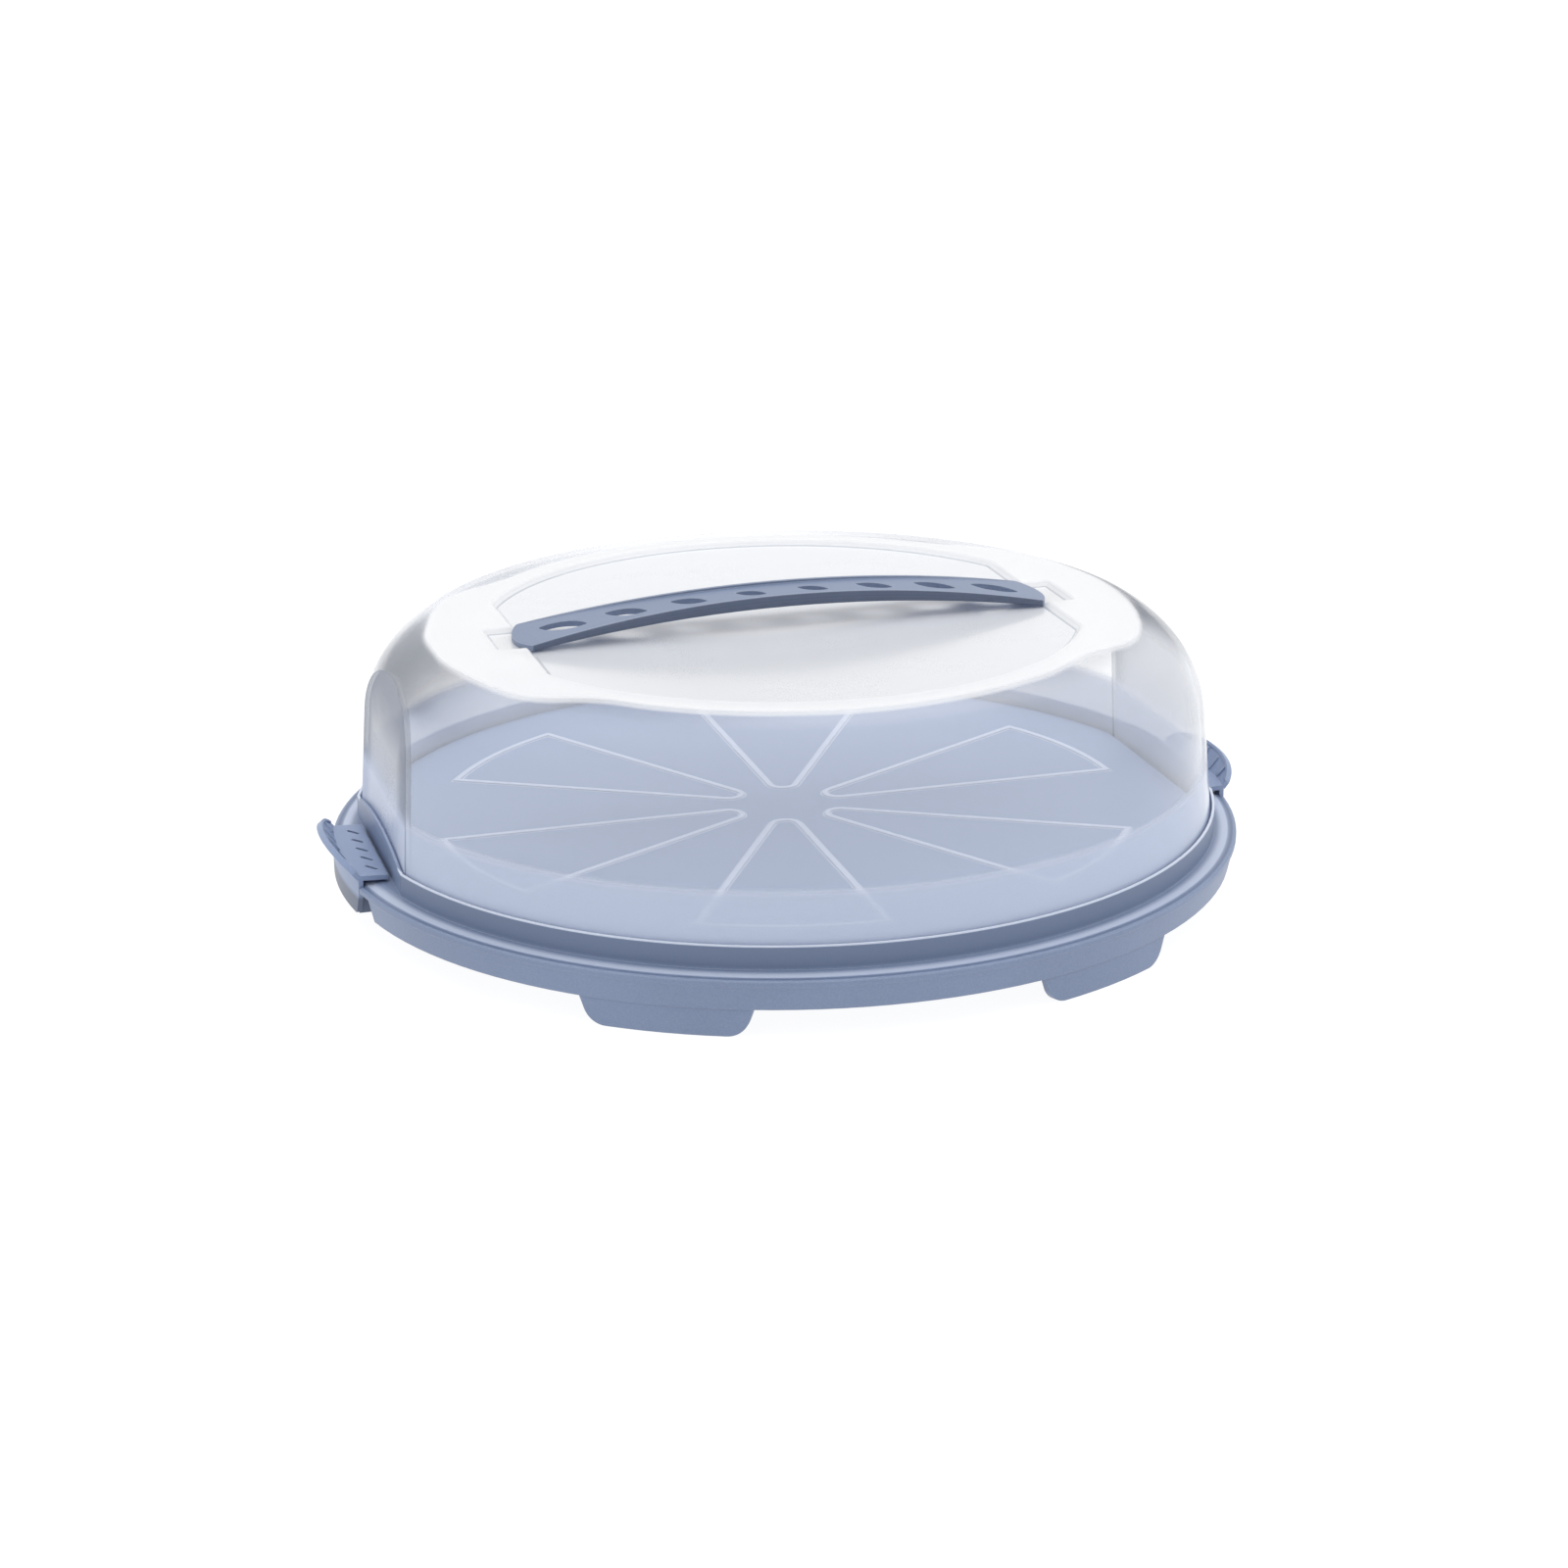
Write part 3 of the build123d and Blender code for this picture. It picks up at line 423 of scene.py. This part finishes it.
def side_view(inset, wide_steps, tight_steps):
    """(radius, height) from the foot up to the crown, for the outer or the inner skin."""
    wide_centre = outward(lean) * -wide_arc
    tight_centre = wide_centre + outward(joint) * (wide_arc - tight_arc)
    crown_out = outward(pi / 2 - crown_fall)
    reach = tight_centre + crown_out * tight_arc
    foot, crown = Vector((dome_foot, dome_foot_height)), Vector((panel_radius, dome_height))
    wall_up = outward(lean + pi / 2)
    start = foot + wall_up * ((crown - foot - reach).dot(crown_out) / wall_up.dot(crown_out))
    points = []
    wall_top = start - outward(lean) * inset
    for step in range(12):
        height = dome_foot_height + (wall_top.y - dome_foot_height) * step / 12
        points.append((wall_top.x + (wall_top.y - height) * tan(lean), height))
    for step in range(wide_steps):
        turn = lean + (joint - lean) * step / wide_steps
        points.append(tuple(start + wide_centre + outward(turn) * (wide_arc - inset)))
    for step in range(tight_steps + 1):
        turn = joint + (pi / 2 - crown_fall - joint) * step / tight_steps
        points.append(tuple(start + tight_centre + outward(turn) * (tight_arc - inset)))
    return points


outer_view = side_view(0.0, 64, 10)
print(len(outer_view), "points up the dome's side, the crown starts at",
      [round(v, 4) for v in outer_view[-1]])

# %% [markdown]
# ## The dome's flat sides
# Opposite each clip the dome is cut flat, leaning in slightly with height and curving away
# near the top, where the cut runs out in an arch. At each height the flat side lies at a
# known distance from the middle. A point of the round wall is pulled in to that distance
# where the round wall would stand proud of it, and a smooth minimum rounds the fold.

# %% Values of the flat sides, and the smooth minimum
flat_foot, flat_slope, flat_bend_height = 0.15605, 0.0635, 0.0677
flat_bend = flat_foot - flat_slope * (flat_bend_height - dome_foot_height)
flat_arc_height, flat_arc_fall, flat_arc_middle = 0.0227, 0.00375, 0.00136
fold_round = 0.0004


def flat_distance(height):
    """How far out the flat side lies at a height."""
    if height <= flat_bend_height:
        return flat_bend - flat_slope * (height - flat_bend_height)
    up = (height - flat_bend_height) / flat_arc_height
    if up <= 1.0:
        bow = 4 * flat_arc_middle - flat_arc_fall
        return flat_bend - bow * up - (flat_arc_fall - bow) * up * up
    return flat_bend - flat_arc_fall - 0.25 * (up - 1.0) * flat_arc_height


def soft_lower(first, second, width):
    """The lower of two values, with a rounded change-over."""
    share = max(width - abs(first - second), 0.0) / width
    return min(first, second) - share * share * width / 4


print("flat side at the foot", round(flat_distance(dome_foot_height), 5), "and at its arch top",
      round(flat_distance(0.0904), 5))

# %% [markdown]
# ## Turning the dome's skin
# The skin is a grid: rings of points at every height of the side view, with the points
# closer together round the two flat sides, where the folds need them. The outer and the
# inner skin are made the same way and joined at the foot, so the wall has real thickness
# and its cut edge shows when the dome is lifted.

# %% Angles of the grid, and one ring of it
fine_half, fine_step, coarse_step = 18.9, 0.35, 1.425
turns = []
for middle in (0.0, 180.0):
    count = round(2 * fine_half / fine_step)
    turns += [middle - fine_half + 2 * fine_half * i / count for i in range(count)]
    count = round((180.0 - 2 * fine_half) / coarse_step)
    turns += [middle + fine_half + (180.0 - 2 * fine_half) * i / count for i in range(count)]
turns = [radians(t) for t in turns]


def dome_ring(radius, height, inset):
    ring = []
    for turn in turns:
        side = abs(cos(turn))
        reach = radius
        if side > 0.9:
            reach = soft_lower(radius, (flat_distance(height) - inset) / side, fold_round)
        ring.append(Vector((reach * cos(turn), reach * sin(turn), height)))
    return ring


print(len(turns), "points in a ring")

# %% [markdown]
# ## The sunk handle panel
# The panel is a circle cut straight at both ends, with a small pocket past each end of the
# handle, all sunk by 2.3 mm with sloping sides. Its outline can be drawn at any offset, so
# a few outlines, each a little further in and lower, give the rounded sides. Corresponding
# points are simply joined. The flat bits between the straight ends and the round crown are
# filled by the triangle fill that also closes the panel's floor round the handle's slots.

# %% Outline of the panel at an offset
pocket_end, pocket_half, pocket_corner = 0.1128, 0.0150, 0.0030
slot_start, slot_end, slot_half = 0.0942, 0.1032, 0.0030


def panel_outline(inset):
    """One way round the panel, with the same count of points at every inset."""
    big, cut = panel_radius - inset, panel_half_length - inset
    end, half, corner = pocket_end - inset, pocket_half - inset, max(pocket_corner - inset, 0.0002)
    rise = acos(min(1.0, cut / big))
    quarter = []
    for step in range(7):
        turn = radians(15 * step)
        quarter.append((end - corner + corner * cos(turn), half - corner + corner * sin(turn)))
    for step in range(1, 6):
        quarter.append((end - corner + (cut - end + corner) * step / 5, half))
    for step in range(1, 15):
        quarter.append((cut, half + (big * sin(rise) - half) * step / 14))
    for step in range(1, 61):
        turn = rise + (pi / 2 - rise) * step / 60
        quarter.append((big * cos(turn), big * sin(turn)))
    right = quarter + [(-x, y) for x, y in reversed(quarter[:-1])]
    return right + [(-x, -y) for x, y in right]


print(len(panel_outline(0.0)), "points round the panel")

# %% Sink the panel: outlines that step down its rounded side


def panel_steps(inset):
    """(offset, height) from the crown down to the panel's floor, rounded at both ends."""
    steps = [(-0.0006, 0.0), (-0.0002, -0.00006), (0.0001, -0.00022), (0.00045, -0.0005)]
    steps += [(panel_slope - 0.00045, -panel_depth + 0.0005),
              (panel_slope - 0.0001, -panel_depth + 0.00022),
              (panel_slope + 0.0002, -panel_depth + 0.00006),
              (panel_slope + 0.0006, -panel_depth)]
    return [(offset - inset, dome_height - inset + drop) for offset, drop in steps]


print("the panel goes down in", len(panel_steps(0.0)), "outlines")

# %% [markdown]
# ## Joining the grid, the panel and the foot
# Everything goes into one mesh. Rings are joined by quads, the last ring of the crown and
# the first outline of the panel are filled with triangles, and the foot closes the gap
# between the two skins. Last, the normals are made to point outwards and shaded smooth,
# apart from the foot and the slots, whose edges of more than 35 degrees stay sharp.

# %% Join rings, fill flat parts


def join_loops(mesh, lower, upper):
    for i in range(len(lower)):
        j = (i + 1) % len(lower)
        mesh.faces.new((lower[i], lower[j], upper[j], upper[i]))


def fill_between(mesh, loops):
    """Fills the flat area inside the first loop and outside the others with triangles."""
    edges = []
    for loop in loops:
        for i in range(len(loop)):
            pair = (loop[i], loop[(i + 1) % len(loop)])
            edges.append(mesh.edges.get(pair) or mesh.edges.new(pair))
    made = bmesh.ops.triangle_fill(mesh, use_beauty=True, use_dissolve=False, edges=edges)
    return [f for f in made["geom"] if isinstance(f, bmesh.types.BMFace)]


def dome_skin(mesh, inset, wide_steps, tight_steps):
    """One skin of the dome from the foot to the panel's floor; gives back its foot ring."""
    rings = []
    for radius, height in side_view(inset, wide_steps, tight_steps):
        rings.append([mesh.verts.new(p) for p in dome_ring(radius, height, inset)])
    crown_radius, crown_height = side_view(inset, wide_steps, tight_steps)[-1]
    edge = panel_radius + 0.0010
    edge_height = dome_height - inset
    for step in range(1, 5):
        share = step / 4
        radius = crown_radius + (edge - crown_radius) * share
        height = crown_height + (edge_height - crown_height) * share
        rings.append([mesh.verts.new(p) for p in dome_ring(radius, height, inset)])
    for lower, upper in zip(rings, rings[1:]):
        join_loops(mesh, lower, upper)
    outlines = []
    for offset, height in panel_steps(inset):
        outlines.append([mesh.verts.new((x, y, height)) for x, y in panel_outline(offset)])
    for upper, lower in zip(outlines, outlines[1:]):
        join_loops(mesh, upper, lower)
    fill_between(mesh, [rings[-1], outlines[0]])
    slots = []
    for side in (1, -1):
        corners = ((slot_start, -slot_half), (slot_end, -slot_half),
                   (slot_end, slot_half), (slot_start, slot_half))
        height = dome_height - inset - panel_depth
        slots.append([mesh.verts.new((side * x, y, height)) for x, y in corners])
    fill_between(mesh, [outlines[-1], *slots])
    return rings[0], slots


print("joining helpers ready")

# %% Make the dome
dome_wall = 0.0018
mesh = bmesh.new()
outer_foot, outer_slots = dome_skin(mesh, 0.0, 64, 10)
inner_foot, inner_slots = dome_skin(mesh, dome_wall, 32, 6)
join_loops(mesh, inner_foot, outer_foot)
for outer, inner in zip(outer_slots, inner_slots):
    join_loops(mesh, outer, inner)
bmesh.ops.recalc_face_normals(mesh, faces=mesh.faces)
for face in mesh.faces:
    face.smooth = True
sharp = radians(35)
for joint_edge in mesh.edges:
    joint_edge.smooth = joint_edge.calc_face_angle(0.0) < sharp
dome_data = bpy.data.meshes.new("clear_dome")
mesh.to_mesh(dome_data)
open_edges = sum(1 for e in mesh.edges if len(e.link_faces) != 2)
mesh.free()
clear_dome = bpy.data.objects.new("clear_dome", dome_data)
scene.collection.objects.link(clear_dome)
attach(clear_dome, "lid")
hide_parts("dome")
print("dome:", len(dome_data.vertices), "points,", len(dome_data.polygons), "faces,",
      open_edges, "open edges")

# %% [markdown]
# ## Effect: zones of the dome
# The clear plastic doesn't look the same everywhere. The crown ring is painted white and
# nearly opaque, as a painted reflection of the light above, and the panel is frosted under a
# glossy face, with a thin dark line of painted shade in the crease at the foot of its sides.
# A band at the foot of the dome is hazier, and painted bluish for the light of the blue tray
# behind it. The flat sides are satin and painted grey as shade, with darker painted shade
# along their arches and folds, and the shoulders beside them are painted grey for the darker
# surroundings they mirror. This group puts out one mask for each zone, so that one material
# can give each its own colour and clearness. All of them go by distances that are alike on
# opposite sides of the dome. The zones on the crown follow the values of its mesh, and end a
# hair inside its edges.

# %% Build the dome_zones group
zone_group, _, zone_out = start_group(
    "dome_zones", [],
    [(label, "value") for label in
     ("Foot band", "Crown ring", "Panel", "Panel line", "Pocket", "Flat side", "Flat border",
      "Fold", "Corner", "Low")],
)
spot = place(zone_group, "ShaderNodeGroup", node_tree=place_group)
radius, height = spot.outputs["Radius"], spot.outputs["Height"]
side, depth = spot.outputs["Side"], spot.outputs["Depth"]
own_place = place(zone_group, "ShaderNodeTexCoord").outputs["Object"]
ripple = place(zone_group, "ShaderNodeTexNoise",
               {"Vector": own_place, "Scale": 38.0, "Detail": 3.0})
wander = maths(zone_group, "MULTIPLY_ADD", ripple.outputs[0], 0.0024, -0.0012)
wavy_radius = maths(zone_group, "ADD", radius, wander)
foot_band = soft_step(zone_group, height, 0.0530, 0.0460)
crown_reach, wider_by_clips = 0.1229, 0.0116
towards_clips = soft_step(zone_group, side, 0.085, 0.120)
crown_edge = maths(zone_group, "MULTIPLY_ADD", towards_clips, wider_by_clips, crown_reach)
short_of_edge = maths(zone_group, "SUBTRACT", crown_edge, wavy_radius)
crown_ring = soft_step(zone_group, short_of_edge, -0.0022, 0.0022)
crown_ring = times(zone_group, crown_ring, soft_step(zone_group, height, 0.095, 0.099))
hair, panel_floor = 0.0002, dome_height - panel_depth
chord = times(zone_group,
              soft_step(zone_group, radius, panel_radius - hair, panel_radius - 0.0012),
              soft_step(zone_group, side, panel_half_length - 0.0003, panel_half_length - 0.0011))
pocket = times(zone_group, soft_step(zone_group, side, pocket_end - hair, pocket_end - 0.0010),
               soft_step(zone_group, depth, pocket_half - hair, pocket_half - 0.0008))
below_crown = soft_step(zone_group, height, dome_height - 0.0003, dome_height - 0.0010)
pocket = times(zone_group, pocket, below_crown)
panel = maths(zone_group, "MAXIMUM", chord, pocket)
panel = times(zone_group, panel, soft_step(zone_group, height, 0.0965, 0.0970))
line_low = band(zone_group, height, panel_floor + 0.00002, panel_floor + 0.00008,
                panel_floor + 0.0003, panel_floor + 0.0005)
near_panel = soft_step(zone_group, radius, panel_radius + 0.0010, panel_radius + 0.0006)
panel_line = times(zone_group, line_low, near_panel)
past_panel = soft_step(zone_group, side, panel_half_length - 0.0017, panel_half_length - 0.0005)
pocket_only = times(zone_group, pocket, past_panel)
print("zones on the crown are ready")

# %% [markdown]
# ## The arch of the flat sides
# Each flat side ends in an arch, and a band along it is painted darker as shade.
# To know how far a point lies from the arch, the material needs the arch's half width at
# every height. A curve node holds it, drawn through points that are worked out from the
# dome's own side view, so that the band stays in place if the dome's values change.

# %% Half width of the arch at a height
arch_low, arch_high, arch_widest = dome_foot_height, 0.0904, 0.050


def arch_half_width(height):
    """Half the width of the flat side at a height."""
    view = [p for p in outer_view if p[1] <= 0.1]
    radius = view[-1][0]
    for (low_radius, low), (high_radius, high) in zip(view, view[1:]):
        if low <= height <= high:
            radius = low_radius + (high_radius - low_radius) * (height - low) / (high - low)
            break
    return sqrt(max(radius ** 2 - flat_distance(height) ** 2, 0.0))


arch_share = place(zone_group, "ShaderNodeMapRange",
                   {"Value": height, "From Min": arch_low, "From Max": arch_high}).outputs["Result"]
arch_curve = place(zone_group, "ShaderNodeFloatCurve", {"Value": arch_share})
curve = arch_curve.mapping.curves[0]
shares = (0.0, 0.2, 0.4, 0.55, 0.7, 0.8, 0.88, 0.94, 0.98, 1.0)
for share in shares[1:-1]:
    curve.points.new(share, 0.5)
for point, share in zip(curve.points, shares):
    at_height = arch_low + share * (arch_high - arch_low)
    point.location = (share, arch_half_width(at_height) / arch_widest)
arch_curve.mapping.update()
half_arch = times(zone_group, arch_curve.outputs[0], arch_widest)
print("arch half widths in mm",
      [round(p.location[1] * arch_widest * 1000, 1) for p in curve.points])

# %% Add the zones of the flat sides
flat_at_ground, flat_curving = flat_foot + flat_slope * dome_foot_height, -4.2
flat_low = maths(zone_group, "MULTIPLY_ADD", height, -flat_slope, flat_at_ground)
above = maths(zone_group, "SUBTRACT", height, flat_bend_height)
above = maths(zone_group, "MAXIMUM", above, 0.0)
bow = times(zone_group, times(zone_group, above, above), flat_curving)
short_of_flat = maths(zone_group, "SUBTRACT", maths(zone_group, "ADD", flat_low, bow), side)
below_arch = soft_step(zone_group, height, 0.0912, 0.0900)
inside_arch = maths(zone_group, "SUBTRACT", half_arch, depth)
flat_side = times(zone_group, soft_step(zone_group, short_of_flat, 0.0040, 0.0028), below_arch)
flat_side = times(zone_group, flat_side, soft_step(zone_group, inside_arch, -0.0004, 0.0004))
# Painted shade: a darker band inside the arch and over the top of the flat side.
flat_border = maths(zone_group, "MAXIMUM", soft_step(zone_group, inside_arch, 0.0220, 0.0040),
                    soft_step(zone_group, height, 0.064, 0.085))
flat_border = times(zone_group, flat_border, flat_side)
# Painted shade: a dark line along the fold at the arch.
near_arch = soft_step(zone_group, maths(zone_group, "ABSOLUTE", inside_arch), 0.0010, 0.0002)
fold = times(zone_group, times(zone_group, near_arch, below_arch),
             soft_step(zone_group, side, 0.135, 0.140))
print("zones of the flat sides are ready")

# %% [markdown]
# ## Shades of the shoulders
# Between the white crown and the clear wall the dome turns over in a tight arc, which
# mirrors what stands round it. In an all-white studio that would be white. A soft grey at
# the four corners, and a weaker one along the shoulders towards them, gives it its form.

# %% Add the shoulders and put all zones out
outside_flat = maths(zone_group, "SUBTRACT", 1.0, flat_side)
beyond_crown = soft_step(zone_group, short_of_edge, 0.0010, -0.0010)
corner = times(zone_group, times(zone_group, beyond_crown, outside_flat),
               soft_step(zone_group, height, 0.080, 0.090))
corner = times(zone_group, corner, soft_step(zone_group, side, 0.098, 0.125))
corner = times(zone_group, corner, soft_step(zone_group, depth, 0.075, 0.000))
shoulder = times(zone_group, beyond_crown, soft_step(zone_group, radius, 0.1420, 0.1270))
shoulder = times(zone_group, shoulder, soft_step(zone_group, side, 0.020, 0.095))
corner = maths(zone_group, "MAXIMUM", corner, times(zone_group, shoulder, 0.30))
low_share = soft_step(zone_group, height, 0.070, 0.026)
for label, source in (("Foot band", foot_band), ("Crown ring", crown_ring), ("Panel", panel),
                      ("Panel line", panel_line), ("Pocket", pocket_only), ("Flat side", flat_side),
                      ("Flat border", flat_border), ("Fold", fold), ("Corner", corner),
                      ("Low", low_share)):
    zone_group.links.new(source, zone_out[label])
print("dome_zones puts out", [s.name for s in zone_out if s.name])

# %% [markdown]
# ## Finish: clear, slightly milky plastic
# True glass would bend every ray and take long to render cleanly. The dome's wall is thin
# and even, so what is behind it hardly shifts, and a see-through surface with a little haze
# looks the same. The Alpha says how much haze each zone has. Layer Weight adds more where
# the wall is seen edge-on, as a longer way through milky plastic does. Light on its way to
# the tray is let through almost whole, because clear plastic throws hardly any shadow.
# The panel has a clear coat besides, in which the handle above it is mirrored.

# %% Colours of the dome's zones
clear_plastic = bpy.data.materials.new("clear_plastic")
clear_plastic.use_nodes = True
tree = clear_plastic.node_tree
skin = tree.nodes["Principled BSDF"]
zones = place(tree, "ShaderNodeGroup", node_tree=zone_group).outputs
grain = place(tree, "ShaderNodeGroup", node_tree=grain_group)
grain.inputs["Fineness"].default_value = 1900.0
grain.inputs["Gloss"].default_value = 0.12
grain.inputs["Gloss spread"].default_value = 0.04
# The flat sides are painted grey as shade, bluer towards the foot.
flat_side_shade = blend_colour(tree, zones["Low"], (0.35, 0.37, 0.42), (0.44, 0.53, 0.74))
milk = (0.88, 0.90, 0.94)
colour = tint(tree, milk, zones["Flat side"], 0.9, flat_side_shade)
# Painted shade and reflection: darker along the flat sides' arches and folds, grey on the
# shoulders, white on the crown ring for the light above, bluish on the foot band for the tray
# behind it, and a dark line in the panel's crease.
for label, strength, shade in (("Flat border", 0.90, (0.240, 0.265, 0.320)),
                               ("Foot band", 1.0, (0.520, 0.580, 0.720)),
                               ("Corner", 2.0, (0.130, 0.145, 0.180)),
                               ("Fold", 0.8, (0.12, 0.15, 0.21)),
                               ("Crown ring", 1.0, (0.755, 0.760, 0.775)),
                               ("Panel", 1.0, (0.715, 0.730, 0.760)),
                               ("Pocket", 1.0, (0.70, 0.705, 0.72)),
                               ("Panel line", 0.8, (0.34, 0.37, 0.43))):
    colour = tint(tree, colour, zones[label], strength, shade)
speck = soft_step(tree, grain.outputs["Height"], 0.25, 0.75)
colour = tint(tree, colour, speck, 0.07, (0.30, 0.32, 0.36))
tree.links.new(colour, skin.inputs["Base Color"])
print("colours of the dome's zones are set")

# %% How clear each zone of the dome is
clear_haze, edge_haze, edge_narrowness, kept_from_shadow = 0.13, 0.9, 6.0, 0.85
haze = maths(tree, "MAXIMUM", clear_haze, times(tree, zones["Foot band"], 0.55))
# The crown ring's high haze is part of its painted reflection of the light above.
for label, strength in (("Crown ring", 0.72), ("Panel", 0.78), ("Pocket", 0.70),
                        ("Flat side", 0.40), ("Flat border", 0.46), ("Corner", 0.52),
                        ("Fold", 0.60)):
    haze = maths(tree, "MAXIMUM", haze, times(tree, zones[label], strength))
edge_on = place(tree, "ShaderNodeLayerWeight", {"Blend": 0.5}).outputs["Facing"]
edge_on = maths(tree, "POWER", edge_on, edge_narrowness)
haze = maths(tree, "MULTIPLY_ADD", edge_on, edge_haze, haze)
haze = maths(tree, "MINIMUM", haze, 1.0)
ray = place(tree, "ShaderNodeLightPath").outputs
let_through = maths(tree, "MAXIMUM", ray["Is Shadow Ray"], ray["Is Diffuse Ray"])
let_through = maths(tree, "MULTIPLY_ADD", let_through, -kept_from_shadow, 1.0)
tree.links.new(times(tree, haze, let_through), skin.inputs["Alpha"])
dull = maths(tree, "MAXIMUM", zones["Panel"], zones["Flat side"])
rough = maths(tree, "MULTIPLY_ADD", dull, 0.16, grain.outputs["Roughness"])
rough = maths(tree, "MULTIPLY_ADD", zones["Flat border"], 0.45, rough)
tree.links.new(rough, skin.inputs["Roughness"])
bump = place(tree, "ShaderNodeBump",
             {"Height": grain.outputs["Height"], "Strength": 0.04, "Distance": 0.0001})
tree.links.new(bump.outputs[0], skin.inputs["Normal"])
tree.links.new(zones["Panel"], skin.inputs["Coat Weight"])
skin.inputs["Coat Roughness"].default_value = 0.12
skin.inputs["IOR"].default_value = 1.28
clear_dome.data.materials.append(clear_plastic)
print("clear_plastic has", len(tree.nodes), "nodes")

# %% [markdown]
# ## The camera
# The photograph was taken with a long lens from a little to the left and about 18 degrees
# up. The distance, the lens and the slight tilt of the frame come from the ellipses that
# the rim, the ring wall and the dome draw in it. The long lens keeps those ellipses even.

# %% Set the camera
camera_turn, camera_rise = radians(-16.15), 0.32121
camera_distance, camera_roll = 1.2946, -0.01019
aim = Vector((0.0, 0.0, 0.03445))
back = Vector((sin(camera_turn) * cos(camera_rise), -cos(camera_turn) * cos(camera_rise),
               sin(camera_rise)))
level_right = Vector((cos(camera_turn), sin(camera_turn), 0.0))
level_up = back.cross(level_right)
right = level_right * cos(camera_roll) + level_up * sin(camera_roll)
up = level_up * cos(camera_roll) - level_right * sin(camera_roll)
camera_data = bpy.data.cameras.new("camera")
focal_pixels, photo_pixels = 3443.38, 1600
camera_data.sensor_width = 36.0
camera_data.lens = focal_pixels / photo_pixels * camera_data.sensor_width
camera = bpy.data.objects.new("camera", camera_data)
facing_keeper = Matrix((right, up, back)).transposed().to_4x4()
camera.matrix_world = Matrix.Translation(aim + back * camera_distance) @ facing_keeper
scene.collection.objects.link(camera)
scene.camera = camera
print("camera at", [round(v, 4) for v in camera.location], "lens", round(camera_data.lens, 2))

# %% [markdown]
# ## The studio
# The keeper stands on a seamless white sweep under broad, soft light from above, with
# weaker lights from the left and the right. A plain white world lights it evenly all round.
# The floor is a large disc of white card that glows a little, so that it comes out white,
# and the faint shade under the keeper shows that it stands there.

# %% Lay the floor
floor_mesh = bmesh.new()
bmesh.ops.create_circle(floor_mesh, cap_ends=True, segments=96, radius=6.0)
floor_data = bpy.data.meshes.new("floor")
floor_mesh.to_mesh(floor_data)
floor_mesh.free()
floor = bpy.data.objects.new("floor", floor_data)
scene.collection.objects.link(floor)
card = bpy.data.materials.new("white_card")
card.use_nodes = True
card_tree = card.node_tree
card_skin = card_tree.nodes["Principled BSDF"]
fibre = place(card_tree, "ShaderNodeTexNoise", {"Scale": 900.0, "Detail": 2.0})
card_colour = blend_colour(card_tree, fibre.outputs[0], (0.12, 0.12, 0.12), (0.16, 0.16, 0.16))
card_tree.links.new(card_colour, card_skin.inputs["Base Color"])
card_skin.inputs["Roughness"].default_value = 0.9
card_skin.inputs["Specular IOR Level"].default_value = 0.1
card_skin.inputs["Emission Color"].default_value = (1.0, 1.0, 1.0, 1.0)
card_skin.inputs["Emission Strength"].default_value = 0.93
floor_data.materials.append(card)
print("floor radius 6 m")

# %% Hang the lights


def softbox(name, spot, aim_at, wide, tall, watts):
    data = bpy.data.lights.new(name, "AREA")
    data.shape, data.size, data.size_y, data.energy = "RECTANGLE", wide, tall, watts
    lamp = bpy.data.objects.new(name, data)
    lamp.location = spot
    lamp.rotation_mode = "QUATERNION"
    lamp.rotation_quaternion = (Vector(spot) - Vector(aim_at)).to_track_quat("Z", "Y")
    scene.collection.objects.link(lamp)
    return lamp


softbox("overhead", (0.10, 0.40, 1.45), (0.0, 0.0, 0.05), 1.7, 1.4, 9.5)
softbox("from_left", (-1.5, -0.7, 0.9), (0.0, 0.0, 0.05), 0.9, 0.9, 1.5)
softbox("from_right", (1.5, -0.35, 0.8), (0.0, 0.0, 0.05), 0.7, 1.0, 4.0)
world = bpy.data.worlds.new("studio")
world.use_nodes = True
scene.world = world
sky = world.node_tree
seen = place(sky, "ShaderNodeLightPath").outputs["Is Camera Ray"]
way = place(sky, "ShaderNodeTexCoord").outputs["Generated"]
up_share = place(sky, "ShaderNodeSeparateXYZ", {0: way}).outputs["Z"]
glow = soft_step(sky, up_share, -0.1, 0.9)
level = maths(sky, "MULTIPLY_ADD", glow, 0.22, 0.78)
level = maths(sky, "MAXIMUM", level, seen)
sky.links.new(level, sky.nodes["Background"].inputs["Strength"])
sky.nodes["Background"].inputs["Color"].default_value = (1.0, 1.0, 1.0, 1.0)
scene.view_settings.view_transform = "Standard"
